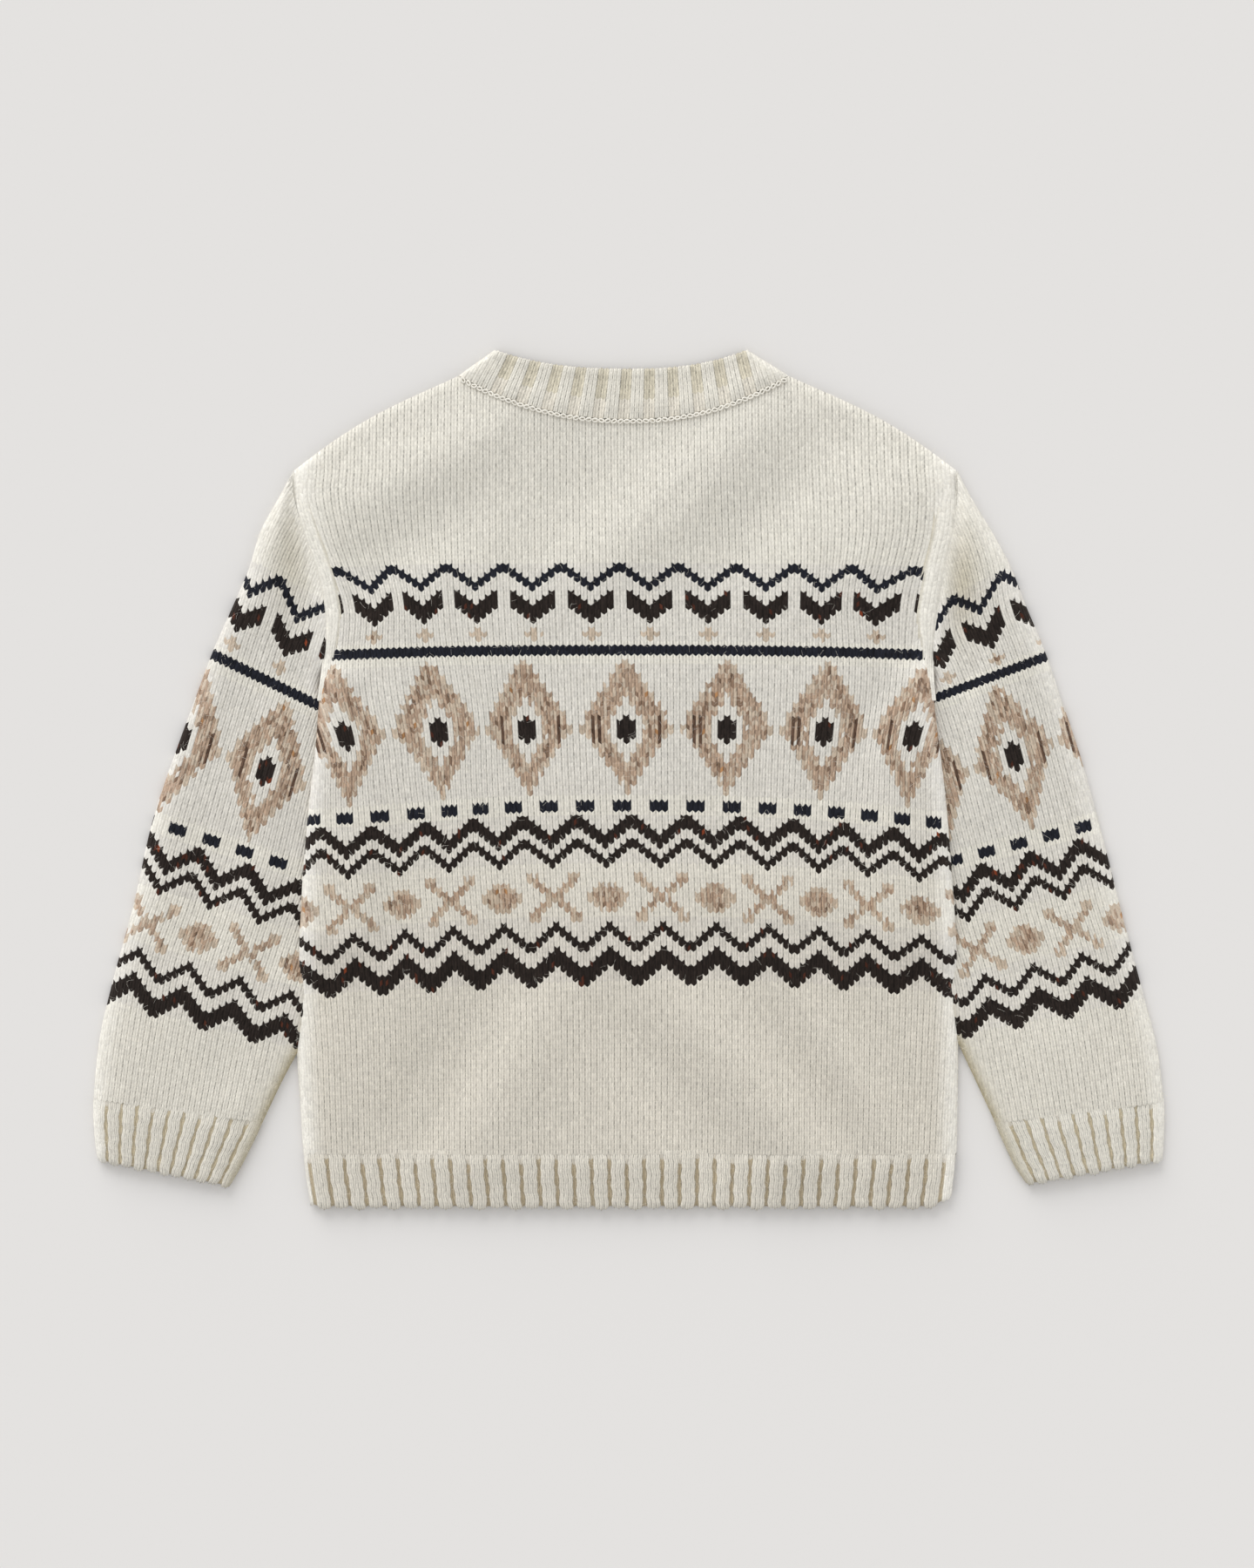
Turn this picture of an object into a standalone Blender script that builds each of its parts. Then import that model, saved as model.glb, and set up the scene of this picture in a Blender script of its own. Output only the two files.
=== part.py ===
"""Nordic sweater for a child, laid flat on its front: nine knitted pieces, each a closed wall of cloth.

Sizes are in millimetres and become metres as each mesh is made. X runs across the sweater, Y up it
towards the neck, Z up from the surface it lies on. The origin is under the middle of its outline.
"""

import math

import bpy
import numpy as np

MM = 0.001

# The cloth
WALL = 2.4  # knitted wall
SEAM = 0.3  # gap between two pieces where they are sewn or lie on each other
EDGE = 0.8  # height of the wall's rim where two panels fold into each other
ROUND = 2.4  # radius of a folded edge
SLEEVE_FLAT = 2 * WALL + SEAM  # a sleeve pressed flat: two walls

# The neck: half widths left and right of the middle, and where its seam and its free edge run
NECK_Y = 226.5
NECK_LEFT, NECK_RIGHT = -96.0, 90.0
NECK_CURVE = 2.2  # exponent of the neckline, 2 is a parabola
BACK_DROP = 25.0  # how far the neckline dips at the back
FRONT_DROP = 66.0  # and at the front
BAND_Y = 241.5
BAND_LEFT, BAND_RIGHT = -75.0, 66.0
BAND_BACK_DROP = 10.5
BAND_FRONT_DROP = 53.0
BAND_RIB = 1.6  # height of a rib
BAND_RIBS = 13  # ribs and troughs across the back, a rib's middle at each end
BAND_ROUND = 4.0  # radius of the fold at each end of the band
BAND_INSIDE = 3.0  # how far inside that fold the inner face turns
BAND_CLEAR = 0.2  # more air in the band than in a seam
BAND_FREE_CURVE = 2.5  # exponent of the free edge's curve
BAND_FRONT_STEPS = 24  # steps across the hidden front half
NECK_STATIONS = np.array([-96.0, -92.0, -84.0, -72.0, -56.0, -38.0, -19.0, 0.0, 18.0, 36.0, 53.0,
                          68.0, 79.0, 86.0, 90.0])  # corners of the neck seam, shared by what meets there
NECK_STATIONS_FRONT = NECK_STATIONS[::2]

# Shoulders
SHOULDER_Y = 173.5  # height of the shoulder tips
SHOULDER_BULGE = 4.8  # how far the shoulder line stands over a straight one
SHOULDER_COSINE = 0.87  # of the shoulder line's slope

# Hem and cuffs
HEM_TOP = -211.0
HEM_BOTTOM = -241.0
HEM_RIBS = 37
HEM_RIB = 1.1  # height of a rib
HEM_GROOVE = 0.4  # how much thinner the cloth is between two ribs
HEM_EDGES = (2.5, 2.2)  # where the hem's ribs reach their height, from its seam and from its free edge
CUFF_RIBS = 11
CUFF_RIB = 1.0
RIB_PROFILE = ((0.0, 0.0), (0.2, 0.85), (0.5, 1.0), (0.8, 0.85))  # across one rib: place, height
SCALLOP = 0.5  # how far a rib reaches past the groove beside it at the free edge

# The underarm, and how the body rides up on the sleeves that are tucked under it
UNDERARM_Y = 66.0
LIFT_START = 70.0  # height at which the body starts to ride up
LIFT_FULL = 52.0  # and where it is up
LIFT = SLEEVE_FLAT + SEAM  # how far it rides up
LIFT_MARGIN = 8.0  # it stays up this far past the sleeve's inner edge
LIFT_RAMP = 24.0  # and comes down over this width
LIFT_END = 30.0  # and over this length at the lower end

# Air between the two panels, and the ridge of the armhole seam
CROWN = 2.1  # air in the middle of the body
CROWN_WIDTH = 45.0  # distance from the edges over which it grows
AIR_MOST = 3.4
FOLD_FADE = 22.0  # folds fade out over this distance from the edges
RIDGE = 1.3  # height of the armhole's ridge
RIDGE_AT = 4.0  # its distance inside the edge
RIDGE_WIDTH = 3.4  # its spread as a soft bell
RIDGE_FADES = (26.0, 30.0)  # lengths over which it dies away, at the underarm and the shoulder
ARMHOLE_GAP = SEAM + 0.05  # between the body's edge and the sleeve's
ARMHOLE_BLEND = 8.0  # half the length over which the panel's rim thickens at the underarm
ARMHOLE_RIM = WALL - 0.5  # height of the rim beside a sleeve

# Side edges of the body, top to bottom
#   y      left    right
BODY_EDGES = np.array([
    (173.5, -188.0, 184.0),
    (164.0, -189.0, 184.8),
    (140.0, -183.8, 183.3),
    (119.0, -176.4, 178.6),
    (98.0, -171.6, 175.0),
    (80.0, -170.5, 172.0),
    (61.0, -171.5, 170.2),
    (42.0, -173.8, 171.4),
    (17.0, -175.8, 174.4),
    (-3.0, -178.2, 176.9),
    (-47.0, -182.3, 180.8),
    (-107.0, -185.4, 184.4),
    (-150.0, -186.6, 185.2),
    (-184.0, -184.6, 184.8),
    (-211.0, -182.8, 184.2),
    (-241.0, -178.6, 181.0),
])

# Folds of the back panel: the middle of each, the way its line runs, its length and width as the
# spreads of a soft bell, and its height, below zero for a trough
#   x       y      angle  length width  height
BODY_FOLDS = [
    (-10.0, 165.0, 38.0, 62.0, 17.0, 0.9),
    (52.0, 158.0, 52.0, 50.0, 14.0, -0.8),
    (-140.0, 128.0, 60.0, 30.0, 12.0, 0.6),
    (150.0, 130.0, -62.0, 26.0, 11.0, 0.6),
    (-78.0, -160.0, 58.0, 46.0, 13.0, 0.9),
    (-112.0, -150.0, 66.0, 40.0, 12.0, -0.7),
    (38.0, -168.0, -52.0, 48.0, 12.0, -1.1),
    (70.0, -160.0, -56.0, 44.0, 12.0, 0.8),
    (112.0, -162.0, -62.0, 34.0, 10.0, -0.9),
]

# Sleeve sections from armhole to cuff. Turn is how far the section has turned from the armhole's
# line (0) to straight across the sleeve (1). The outer end is the folded edge away from the body.
#   turn   outer x  outer y  inner x  inner y
SLEEVE_LEFT = np.array([
    (0.00, -188.35, 173.5, -171.5, 66.0),
    (0.14, -196.5, 158.5, -172.9, 61.0),
    (0.30, -206.0, 141.5, -173.8, 55.0),
    (0.50, -213.5, 118.5, -173.2, 47.0),
    (0.75, -223.5, 95.0, -169.0, 38.0),
    (1.00, -233.5, 72.5, -164.5, 27.0),
    (1.00, -242.8, 48.0, -160.5, 9.0),
    (1.00, -252.2, 22.5, -158.5, -13.0),
    (1.00, -267.2, -21.5, -161.0, -56.0),
    (1.00, -278.8, -72.0, -170.0, -104.0),
    (1.00, -290.8, -116.0, -184.0, -149.0),
    (1.00, -297.6, -146.0, -195.5, -171.0),
    (1.00, -301.0, -180.0, -206.0, -193.0),
])
SLEEVE_RIGHT = np.array([
    (0.00, 184.35, 173.5, 170.9, 66.0),
    (0.14, 192.3, 158.5, 171.2, 61.0),
    (0.30, 203.2, 140.5, 171.6, 55.5),
    (0.50, 214.3, 120.0, 170.8, 49.0),
    (0.75, 223.0, 98.0, 167.0, 43.0),
    (1.00, 234.6, 70.0, 163.0, 36.0),
    (1.00, 243.0, 45.5, 159.0, 14.0),
    (1.00, 252.0, 19.0, 157.0, -10.0),
    (1.00, 266.0, -31.0, 160.0, -61.0),
    (1.00, 278.4, -80.0, 169.0, -107.0),
    (1.00, 289.6, -122.0, 184.4, -146.5),
    (1.00, 297.2, -152.0, 195.0, -169.5),
    (1.00, 301.0, -182.0, 206.0, -193.5),
])
CUFF_LEFT = np.array([
    (1.00, -301.0, -180.3, -206.1, -193.3),
    (1.00, -300.6, -198.0, -214.5, -211.0),
    (1.00, -298.8, -214.6, -224.0, -229.5),
])
CUFF_RIGHT = np.array([
    (1.00, 301.0, -182.3, 206.1, -193.8),
    (1.00, 301.0, -199.0, 214.0, -211.5),
    (1.00, 300.2, -214.6, 222.5, -228.5),
])

# Folds of a sleeve: where along it in shares of its length and across it in shares of its width,
# the spreads of both in the same shares, and the height
#   along  across  length  width  height
SLEEVE_FOLDS = [
    (0.20, 0.62, 0.11, 0.10, -1.3),
    (0.17, 0.36, 0.10, 0.10, 0.8),
    (0.42, 0.45, 0.12, 0.16, 0.9),
    (0.60, 0.30, 0.10, 0.14, -0.5),
    (0.78, 0.50, 0.12, 0.16, 0.6),
]
SLEEVE_CROWN = 1.6  # air in a sleeve
SLEEVE_SPREAD = 26.0  # distance from the edges over which it grows
SLEEVE_FREE = (0.72, 0.2)  # share of the width from which the body presses the sleeve flat, and its ramp
SLEEVE_MOST = 3.2
SLEEVE_STEPS = (0.9, 2.6, 6.0)  # columns that round a sleeve's edges
FOLD_INSIDE = 2.6  # how far inside a folded edge the cloth's inner face turns
FOLD_EASE = 0.4  # how fast that inset fades inwards
RIB_FADE = 4.0  # a cuff's ribs fade out over this distance from its edges

SHARP_ANGLE = math.radians(50)  # edges sharper than this aren't shaded smooth

# Colours, linear
CREAM = (0.75, 0.72, 0.63, 1.0)
CREAM_RIB = (0.72, 0.68, 0.58, 1.0)


def through(table, column, at):
    """A smooth curve through one column of a table, whose first column falls from row to row."""
    x, y = -table[:, 0], table[:, column]
    at = np.clip(-np.asarray(at, float), x[0], x[-1])
    steep = np.gradient(y, x)
    i = np.clip(np.searchsorted(x, at, side="right") - 1, 0, len(x) - 2)
    span = x[i + 1] - x[i]
    t = (at - x[i]) / span
    start = y[i] * (1 + 2 * t) * (1 - t) ** 2 + span * steep[i] * t * (1 - t) ** 2
    return start + y[i + 1] * t * t * (3 - 2 * t) + span * steep[i + 1] * t * t * (t - 1)


def ease(t):
    t = np.clip(t, 0.0, 1.0)
    return t * t * (3 - 2 * t)


def curve_of(x, left, right, top, drop, power):
    """Height of a line that dips by drop between two ends at the height top."""
    t = np.where(np.asarray(x) < 0, x / left, x / right)
    return top - drop * (1 - np.clip(t, 0, 1) ** power)


def shoulder_line(x):
    """Height of the shoulder seam, which bulges a little over a straight slope."""
    neck = np.where(np.asarray(x) < 0, NECK_LEFT, NECK_RIGHT)
    tip = np.where(np.asarray(x) < 0, BODY_EDGES[0, 1], BODY_EDGES[0, 2])
    t = np.clip((x - neck) / (tip - neck), 0, 1)
    bulge = SHOULDER_BULGE * np.sin(math.pi * t ** 1.2)
    return NECK_Y + (SHOULDER_Y - NECK_Y) * t + bulge


def top_line(x, drop):
    """Top edge of a panel: the neckline between the neck points, the shoulders beside it."""
    neckline = curve_of(x, NECK_LEFT, NECK_RIGHT, NECK_Y, drop, NECK_CURVE)
    return np.where((x > NECK_LEFT) & (x < NECK_RIGHT), neckline, shoulder_line(x))


def tucked(y, side):
    """How far the sleeve's inner edge lies under the body's side edge at the height y."""
    sleeve = SLEEVE_LEFT if side < 0 else SLEEVE_RIGHT
    inner = through(sleeve[:, [4, 3]], 1, y)
    edge = through(BODY_EDGES, 1 if side < 0 else 2, y)
    return np.clip(side * (edge - inner), 0, None)


def side_distances(x, y):
    left = x - through(BODY_EDGES, 1, y)
    right = through(BODY_EDGES, 2, y) - x
    return left, right


def lift(x, y):
    """How high the sleeves raise the underside of the body: full over them, then down a soft ramp."""
    raised = np.zeros(np.broadcast(x, y).shape)
    begins = ease((LIFT_START - y) / (LIFT_START - LIFT_FULL))
    last_inner = min(SLEEVE_LEFT[-3, 4], SLEEVE_RIGHT[-3, 4])
    ends = ease((y - last_inner + LIFT_END) / LIFT_END)
    for side, distance in zip((-1, 1), side_distances(x, y)):
        past = (distance - tucked(y, side) - LIFT_MARGIN) / LIFT_RAMP
        raised = np.maximum(raised, LIFT * begins * ends * (1 - ease(past)))
    return raised


def folds(x, y, table):
    total = np.zeros(np.broadcast(x, y).shape)
    for fold_x, fold_y, angle, length, width, height in table:
        c, s = math.cos(math.radians(angle)), math.sin(math.radians(angle))
        along = (x - fold_x) * c + (y - fold_y) * s
        across = (y - fold_y) * c - (x - fold_x) * s
        total = total + height * np.exp(-0.5 * (along / length) ** 2 - 0.5 * (across / width) ** 2)
    return total


def rim_distance(x, y):
    """Distance to the nearest folded edge: a side or a shoulder."""
    left, right = side_distances(x, y)
    inside_neck = np.clip(np.where(x < 0, x - NECK_LEFT, NECK_RIGHT - x), 0, None)
    shoulder = (shoulder_line(x) - y) * SHOULDER_COSINE + inside_neck
    return np.clip(np.minimum(np.minimum(left, right), shoulder), 0, None)


def air(x, y):
    """Room between the panels, none at the folded edges."""
    distance = rim_distance(x, y)
    body = CROWN * ease(distance / CROWN_WIDTH) + folds(x, y, BODY_FOLDS) * ease(distance / FOLD_FADE)
    return np.clip(body, 0, AIR_MOST)


def quarter(distance, low, high, radius):
    """A quarter round from low at distance 0 to high at the radius."""
    t = np.clip(1 - distance / radius, 0, 1)
    return low + (high - low) * np.sqrt(1 - t * t)


def finish(name, points, faces, colour):
    """An object of one closed mesh, its faces outward and shaded smooth."""
    points = np.asarray(points, float)
    triangles = np.array([(f[0], f[k], f[k + 1]) for f in faces for k in range(1, len(f) - 1)])
    a, b, c = (points[triangles[:, k]] for k in range(3))
    if np.einsum("ij,ij->i", a, np.cross(b, c)).sum() < 0:
        faces = [f[::-1] for f in faces]
    mesh = bpy.data.meshes.new(name)
    mesh.from_pydata((points * MM).tolist(), [], faces)
    mesh.shade_smooth()
    mesh.set_sharp_from_angle(angle=SHARP_ANGLE)
    material = bpy.data.materials.new(f"{name} wool")
    material.use_nodes = True
    wool = material.node_tree.nodes["Principled BSDF"]
    wool.inputs["Base Color"].default_value = colour
    wool.inputs["Roughness"].default_value = 0.95
    wool.inputs["Metallic"].default_value = 0.0
    mesh.materials.append(material)
    obj = bpy.data.objects.new(name, mesh)
    bpy.context.scene.collection.objects.link(obj)
    return obj


def wall(name, outer, inner, colour, ring=False):
    """A closed wall between two grids of points [row, column, xyz]; a ring closes along its columns."""
    rows, columns = outer.shape[:2]
    points = np.concatenate([outer.reshape(-1, 3), inner.reshape(-1, 3)])
    under = rows * columns
    faces = []

    def at(row, column):
        return row * columns + column % columns

    last = columns if ring else columns - 1
    for r in range(rows - 1):
        for c in range(last):
            near, right = at(r, c), at(r, c + 1)
            far, left = at(r + 1, c + 1), at(r + 1, c)
            for triangle in ((near, right, far), (near, far, left)):
                faces.append(triangle)
                faces.append(tuple(under + k for k in triangle[::-1]))
    for c in range(last):
        faces.append((at(0, c + 1), at(0, c), under + at(0, c), under + at(0, c + 1)))
        end = rows - 1
        faces.append((at(end, c), at(end, c + 1), under + at(end, c + 1), under + at(end, c)))
    if not ring:
        for r in range(rows - 1):
            faces.append((at(r, 0), at(r + 1, 0), under + at(r + 1, 0), under + at(r, 0)))
            edge = columns - 1
            faces.append((at(r + 1, edge), at(r, edge), under + at(r, edge), under + at(r + 1, edge)))
    return finish(name, points, faces, colour)


# Columns of a panel by their distance from a side edge, and two more beside the neck
EDGE_STEPS = [0.0, 0.7, 2.4, 5.0, 9.0, 16.0, 27.0, 39.0, 52.0]
SHOULDER_STATIONS = [-116.0, 111.0]
ARMHOLE_ROWS = [173.5, 164.0, 152.0, 140.0, 126.0, 112.0, 98.0, 82.0, 66.0]
BODY_ROWS = ARMHOLE_ROWS + [52.0, 36.0, 14.0, -12.0, -42.0, -75.0, -105.0, -130.0, -152.0, -173.0,
                            -192.0, HEM_TOP]
TOP_STEPS = [0.0, 0.8, 2.6, 5.0]  # rows that round the shoulder, measured down from the seam


def panel_grid(drop, stations):
    """Plan of a body panel: rows from hem to shoulder, columns from side to side."""
    tip_left, tip_right = BODY_EDGES[0, 1], BODY_EDGES[0, 2]
    span = tip_right - tip_left
    steps = np.array(EDGE_STEPS)
    tops = np.sort(np.concatenate([tip_left + steps, tip_right - steps, stations, SHOULDER_STATIONS]))
    top_y = top_line(tops, drop)
    grid = []
    for y_side in reversed(BODY_ROWS):
        left, right = through(BODY_EDGES, 1, y_side), through(BODY_EDGES, 2, y_side)
        share = (y_side - HEM_TOP) / (SHOULDER_Y - HEM_TOP)
        scale = (right - left) / span
        x = left + (tops - tip_left) * scale
        near = np.minimum(tops - tip_left, tip_right - tops)
        keep = near <= EDGE_STEPS[-1]  # the steps by the edges keep their real distances
        x = np.where(keep & (tops < 0), left + near, x)
        x = np.where(keep & (tops > 0), right - near, x)
        y = HEM_TOP + share * (top_y - HEM_TOP)
        grid.append(np.stack([x, y], axis=1))
    top_row, below = grid[-1], grid[-2]
    grid = grid[:-1]
    for step in reversed(TOP_STEPS):
        reach = np.linalg.norm(top_row - below, axis=1, keepdims=True)
        grid.append(top_row + (below - top_row) * step / reach)
    return np.array(grid)


def lay(plan, z):
    return np.concatenate([plan, z[..., None]], axis=2)


def ridge(x, y):
    """The rolled armhole edge: a soft bead beside the sleeve seam, gone below the underarm."""
    left, right = side_distances(x, y)
    near = np.minimum(left, right)
    low, high = RIDGE_FADES
    shown = ease((y - UNDERARM_Y + low) / low) * ease((SHOULDER_Y + high / 5 - y) / high)
    return RIDGE * shown * np.exp(-0.5 * ((near - RIDGE_AT) / RIDGE_WIDTH) ** 2)


def back_underside(x, y):
    return lift(x, y) + WALL + SEAM + air(x, y)


def back_panel():
    plan = panel_grid(BACK_DROP, NECK_STATIONS)
    x, y = plan[..., 0], plan[..., 1]
    under = back_underside(x, y)
    at_armhole = ease((y - UNDERARM_Y + ARMHOLE_BLEND) / (2 * ARMHOLE_BLEND))
    low = EDGE + (ARMHOLE_RIM - EDGE) * at_armhole
    top = under + quarter(rim_distance(x, y), low, WALL, ROUND) + ridge(x, y)
    return wall("back_panel", lay(plan, top), lay(plan, under), CREAM)


def front_panel():
    plan = panel_grid(FRONT_DROP, NECK_STATIONS_FRONT)
    x, y = plan[..., 0], plan[..., 1]
    raised = lift(x, y)
    lower = raised + WALL - quarter(rim_distance(x, y), EDGE, WALL, ROUND)
    return wall("front_panel", lay(plan, raised + WALL), lay(plan, lower), CREAM)


def hem_plan(columns, rows):
    """Plan of a hem rib: columns in shares of its width, rows as heights."""
    grid = []
    for y in rows:
        left, right = through(BODY_EDGES, 1, y), through(BODY_EDGES, 2, y)
        grid.append(np.stack([left + (right - left) * columns, np.full(len(columns), y)], axis=1))
    return np.array(grid)


def rib_columns(ribs):
    """Shares across a ribbed strip, four to a rib, and how far each stands up, from 0 to 1."""
    shares, rise = [], []
    for rib in range(ribs):
        for part, height in RIB_PROFILE:
            shares.append((rib + part) / ribs)
            rise.append(height)
    return np.array(shares + [1.0]), np.array(rise + [0.0])


def hem_rib_back():
    """The hem's back half, with half the air of the panel over it."""
    shares, rise = rib_columns(HEM_RIBS)
    rows = [HEM_TOP - SEAM, HEM_TOP - HEM_EDGES[0], HEM_BOTTOM + HEM_EDGES[1], HEM_BOTTOM]
    full = np.array([0.35, 1.0, 1.0, 0.3])  # share of a rib's height in each row
    plan = hem_plan(shares, rows)
    plan[-1, :, 1] -= SCALLOP * rise
    panel = back_underside(plan[..., 0], np.full(plan.shape[:2], HEM_TOP))
    under = (panel + WALL + SEAM) / 2
    edge = np.minimum(shares, 1 - shares) * (BODY_EDGES[-1, 2] - BODY_EDGES[-1, 1])
    thick = quarter(edge, EDGE, WALL - HEM_GROOVE, ROUND) + HEM_RIB * full[:, None] * rise
    return wall("hem_rib_back", lay(plan, under + thick), lay(plan, under), CREAM_RIB)


def hem_rib_front():
    width = BODY_EDGES[-1, 2] - BODY_EDGES[-1, 1]
    steps = np.array(EDGE_STEPS[:3]) / width
    shares = np.concatenate([steps, np.linspace(0, 1, 13)[1:-1], 1 - steps[::-1]])
    plan = hem_plan(shares, [HEM_TOP - SEAM, HEM_BOTTOM])
    edge = np.minimum(shares, 1 - shares) * width
    lower = np.broadcast_to(WALL - quarter(edge, EDGE, WALL, ROUND), plan.shape[:2])
    return wall("hem_rib_front", lay(plan, np.full(plan.shape[:2], WALL)), lay(plan, lower), CREAM_RIB)


def armhole(side):
    """The body's armhole edge in plan, shoulder to underarm, moved out to the sleeve's side."""
    y = np.array(ARMHOLE_ROWS)
    x = through(BODY_EDGES, 1 if side < 0 else 2, y) + side * ARMHOLE_GAP
    return np.stack([x, y], axis=1)


def section_line(row, start, shares):
    """One section in plan from outer to inner end: the armhole's line, turned towards straight."""
    turn, outer, inner = row[0], row[1:3], row[3:5]
    straight = outer + (inner - outer) * shares[:, None]
    spread = (inner - outer) - (start[-1] - start[0])
    curved = outer + (start - start[0]) + spread * shares[:, None]
    return curved * (1 - turn) + straight * turn


def tube(name, sections, across, colour, start=None, crown=0.0, creases=(), ribs=None):
    """A flattened tube: upper layer from outer to inner edge, then the lower one back again."""
    start = start if start is not None else np.stack([across, across], axis=1)
    lengths = np.linalg.norm(sections[:, 3:5] - sections[:, 1:3], axis=1)
    middles = (sections[:, 1:3] + sections[:, 3:5]) / 2
    along = np.concatenate([[0], np.cumsum(np.linalg.norm(np.diff(middles, axis=0), axis=1))])
    along = along / along[-1]
    rise = np.zeros(len(across)) if ribs is None else ribs[0]
    outer_rings, inner_rings = [], []
    for k, row in enumerate(sections):
        line = section_line(row, start, across)
        tilt = ease(np.minimum(across, 1 - across) * lengths[k] / SLEEVE_SPREAD)
        rest = ease((SLEEVE_FREE[0] - across) / SLEEVE_FREE[1])
        height = crown * tilt * rest
        for at_long, at_cross, long, wide, high in creases:
            bell = (along[k] - at_long) / long, (across - at_cross) / wide
            height = height + high * tilt * rest * np.exp(-0.5 * (bell[0] ** 2 + bell[1] ** 2))
        height = np.clip(height, 0, SLEEVE_MOST)
        distance = np.minimum(across, 1 - across) * lengths[k]
        middle = SLEEVE_FLAT / 2
        share = 1.0 if ribs is None else ribs[1][k]
        top = quarter(distance, middle, SLEEVE_FLAT, ROUND) + height
        top = top + rise * share * ease(distance / RIB_FADE)
        bottom = quarter(distance, middle, 0.0, ROUND)
        upper_in = WALL + SEAM + height
        lower_in = np.full(len(across), WALL)
        steps = np.concatenate([[0], np.cumsum(np.linalg.norm(np.diff(line, axis=0), axis=1))])
        edge = np.minimum(steps, steps[-1] - steps)
        further = np.where(across < 0.5, 1.0, -1.0) * np.clip(FOLD_INSIDE - FOLD_EASE * edge, 0, None)
        inset = np.stack([np.interp(steps + further, steps, line[:, k]) for k in (0, 1)], axis=1)
        inset = inset - line
        upper = np.concatenate([line, top[:, None]], axis=1)
        lower = np.concatenate([line, bottom[:, None]], axis=1)
        upper_inner = np.concatenate([line + inset, upper_in[:, None]], axis=1)
        lower_inner = np.concatenate([line + inset, lower_in[:, None]], axis=1)
        outer_rings.append(np.concatenate([upper, lower[-2:0:-1]]))
        middle_in = (upper_inner[[0, -1]] + lower_inner[[0, -1]]) / 2
        upper_inner[[0, -1]] = middle_in
        inner_rings.append(np.concatenate([upper_inner, lower_inner[-2:0:-1]]))
    outer, inner = np.array(outer_rings), np.array(inner_rings)
    if ribs is not None:
        push = (outer[-1] - outer[-2]) / np.linalg.norm(outer[-1] - outer[-2], axis=1)[:, None]
        outer[-1, : len(across)] += push[: len(across)] * SCALLOP * rise[:, None]
    return wall(name, outer, inner, colour, ring=True)


def sleeve(name, sections, side):
    start = armhole(side)
    run = np.concatenate([[0], np.cumsum(np.linalg.norm(np.diff(start, axis=0), axis=1))])
    shares = run / run[-1]
    steps = np.array(SLEEVE_STEPS) / run[-1]
    across = np.array(sorted(set(shares.tolist() + steps.tolist() + (1 - steps).tolist())))
    line = np.stack([np.interp(across, shares, start[:, k]) for k in (0, 1)], axis=1)
    return tube(name, sections, across, CREAM, start=line, crown=SLEEVE_CROWN, creases=SLEEVE_FOLDS)


def cuff(name, sections):
    shares, rise = rib_columns(CUFF_RIBS)
    along = (0.4, 1.0, 0.5)  # share of a rib's height in each section
    return tube(name, sections, shares, CREAM_RIB, ribs=(rise * CUFF_RIB, along))


def band_line(share, drops, back):
    """A point of the band's seam (share 0) to its free edge (share 1), for steps across the neck."""
    count = len(RIB_PROFILE) * BAND_RIBS if back else BAND_FRONT_STEPS
    steps = np.linspace(0, 1, count + 1)
    seam_x = NECK_LEFT + (NECK_RIGHT - NECK_LEFT) * steps
    free_x = BAND_LEFT + (BAND_RIGHT - BAND_LEFT) * steps
    stations = NECK_STATIONS if back else NECK_STATIONS_FRONT
    station_y = curve_of(stations, NECK_LEFT, NECK_RIGHT, NECK_Y, drops[0], NECK_CURVE)
    seam_y = np.interp(seam_x, stations, station_y) + 1.5 * SEAM
    free_y = curve_of(free_x, BAND_LEFT, BAND_RIGHT, BAND_Y, drops[1], BAND_FREE_CURVE)
    seam, free = np.stack([seam_x, seam_y], axis=1), np.stack([free_x, free_y], axis=1)
    return seam + (free - seam) * share


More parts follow.
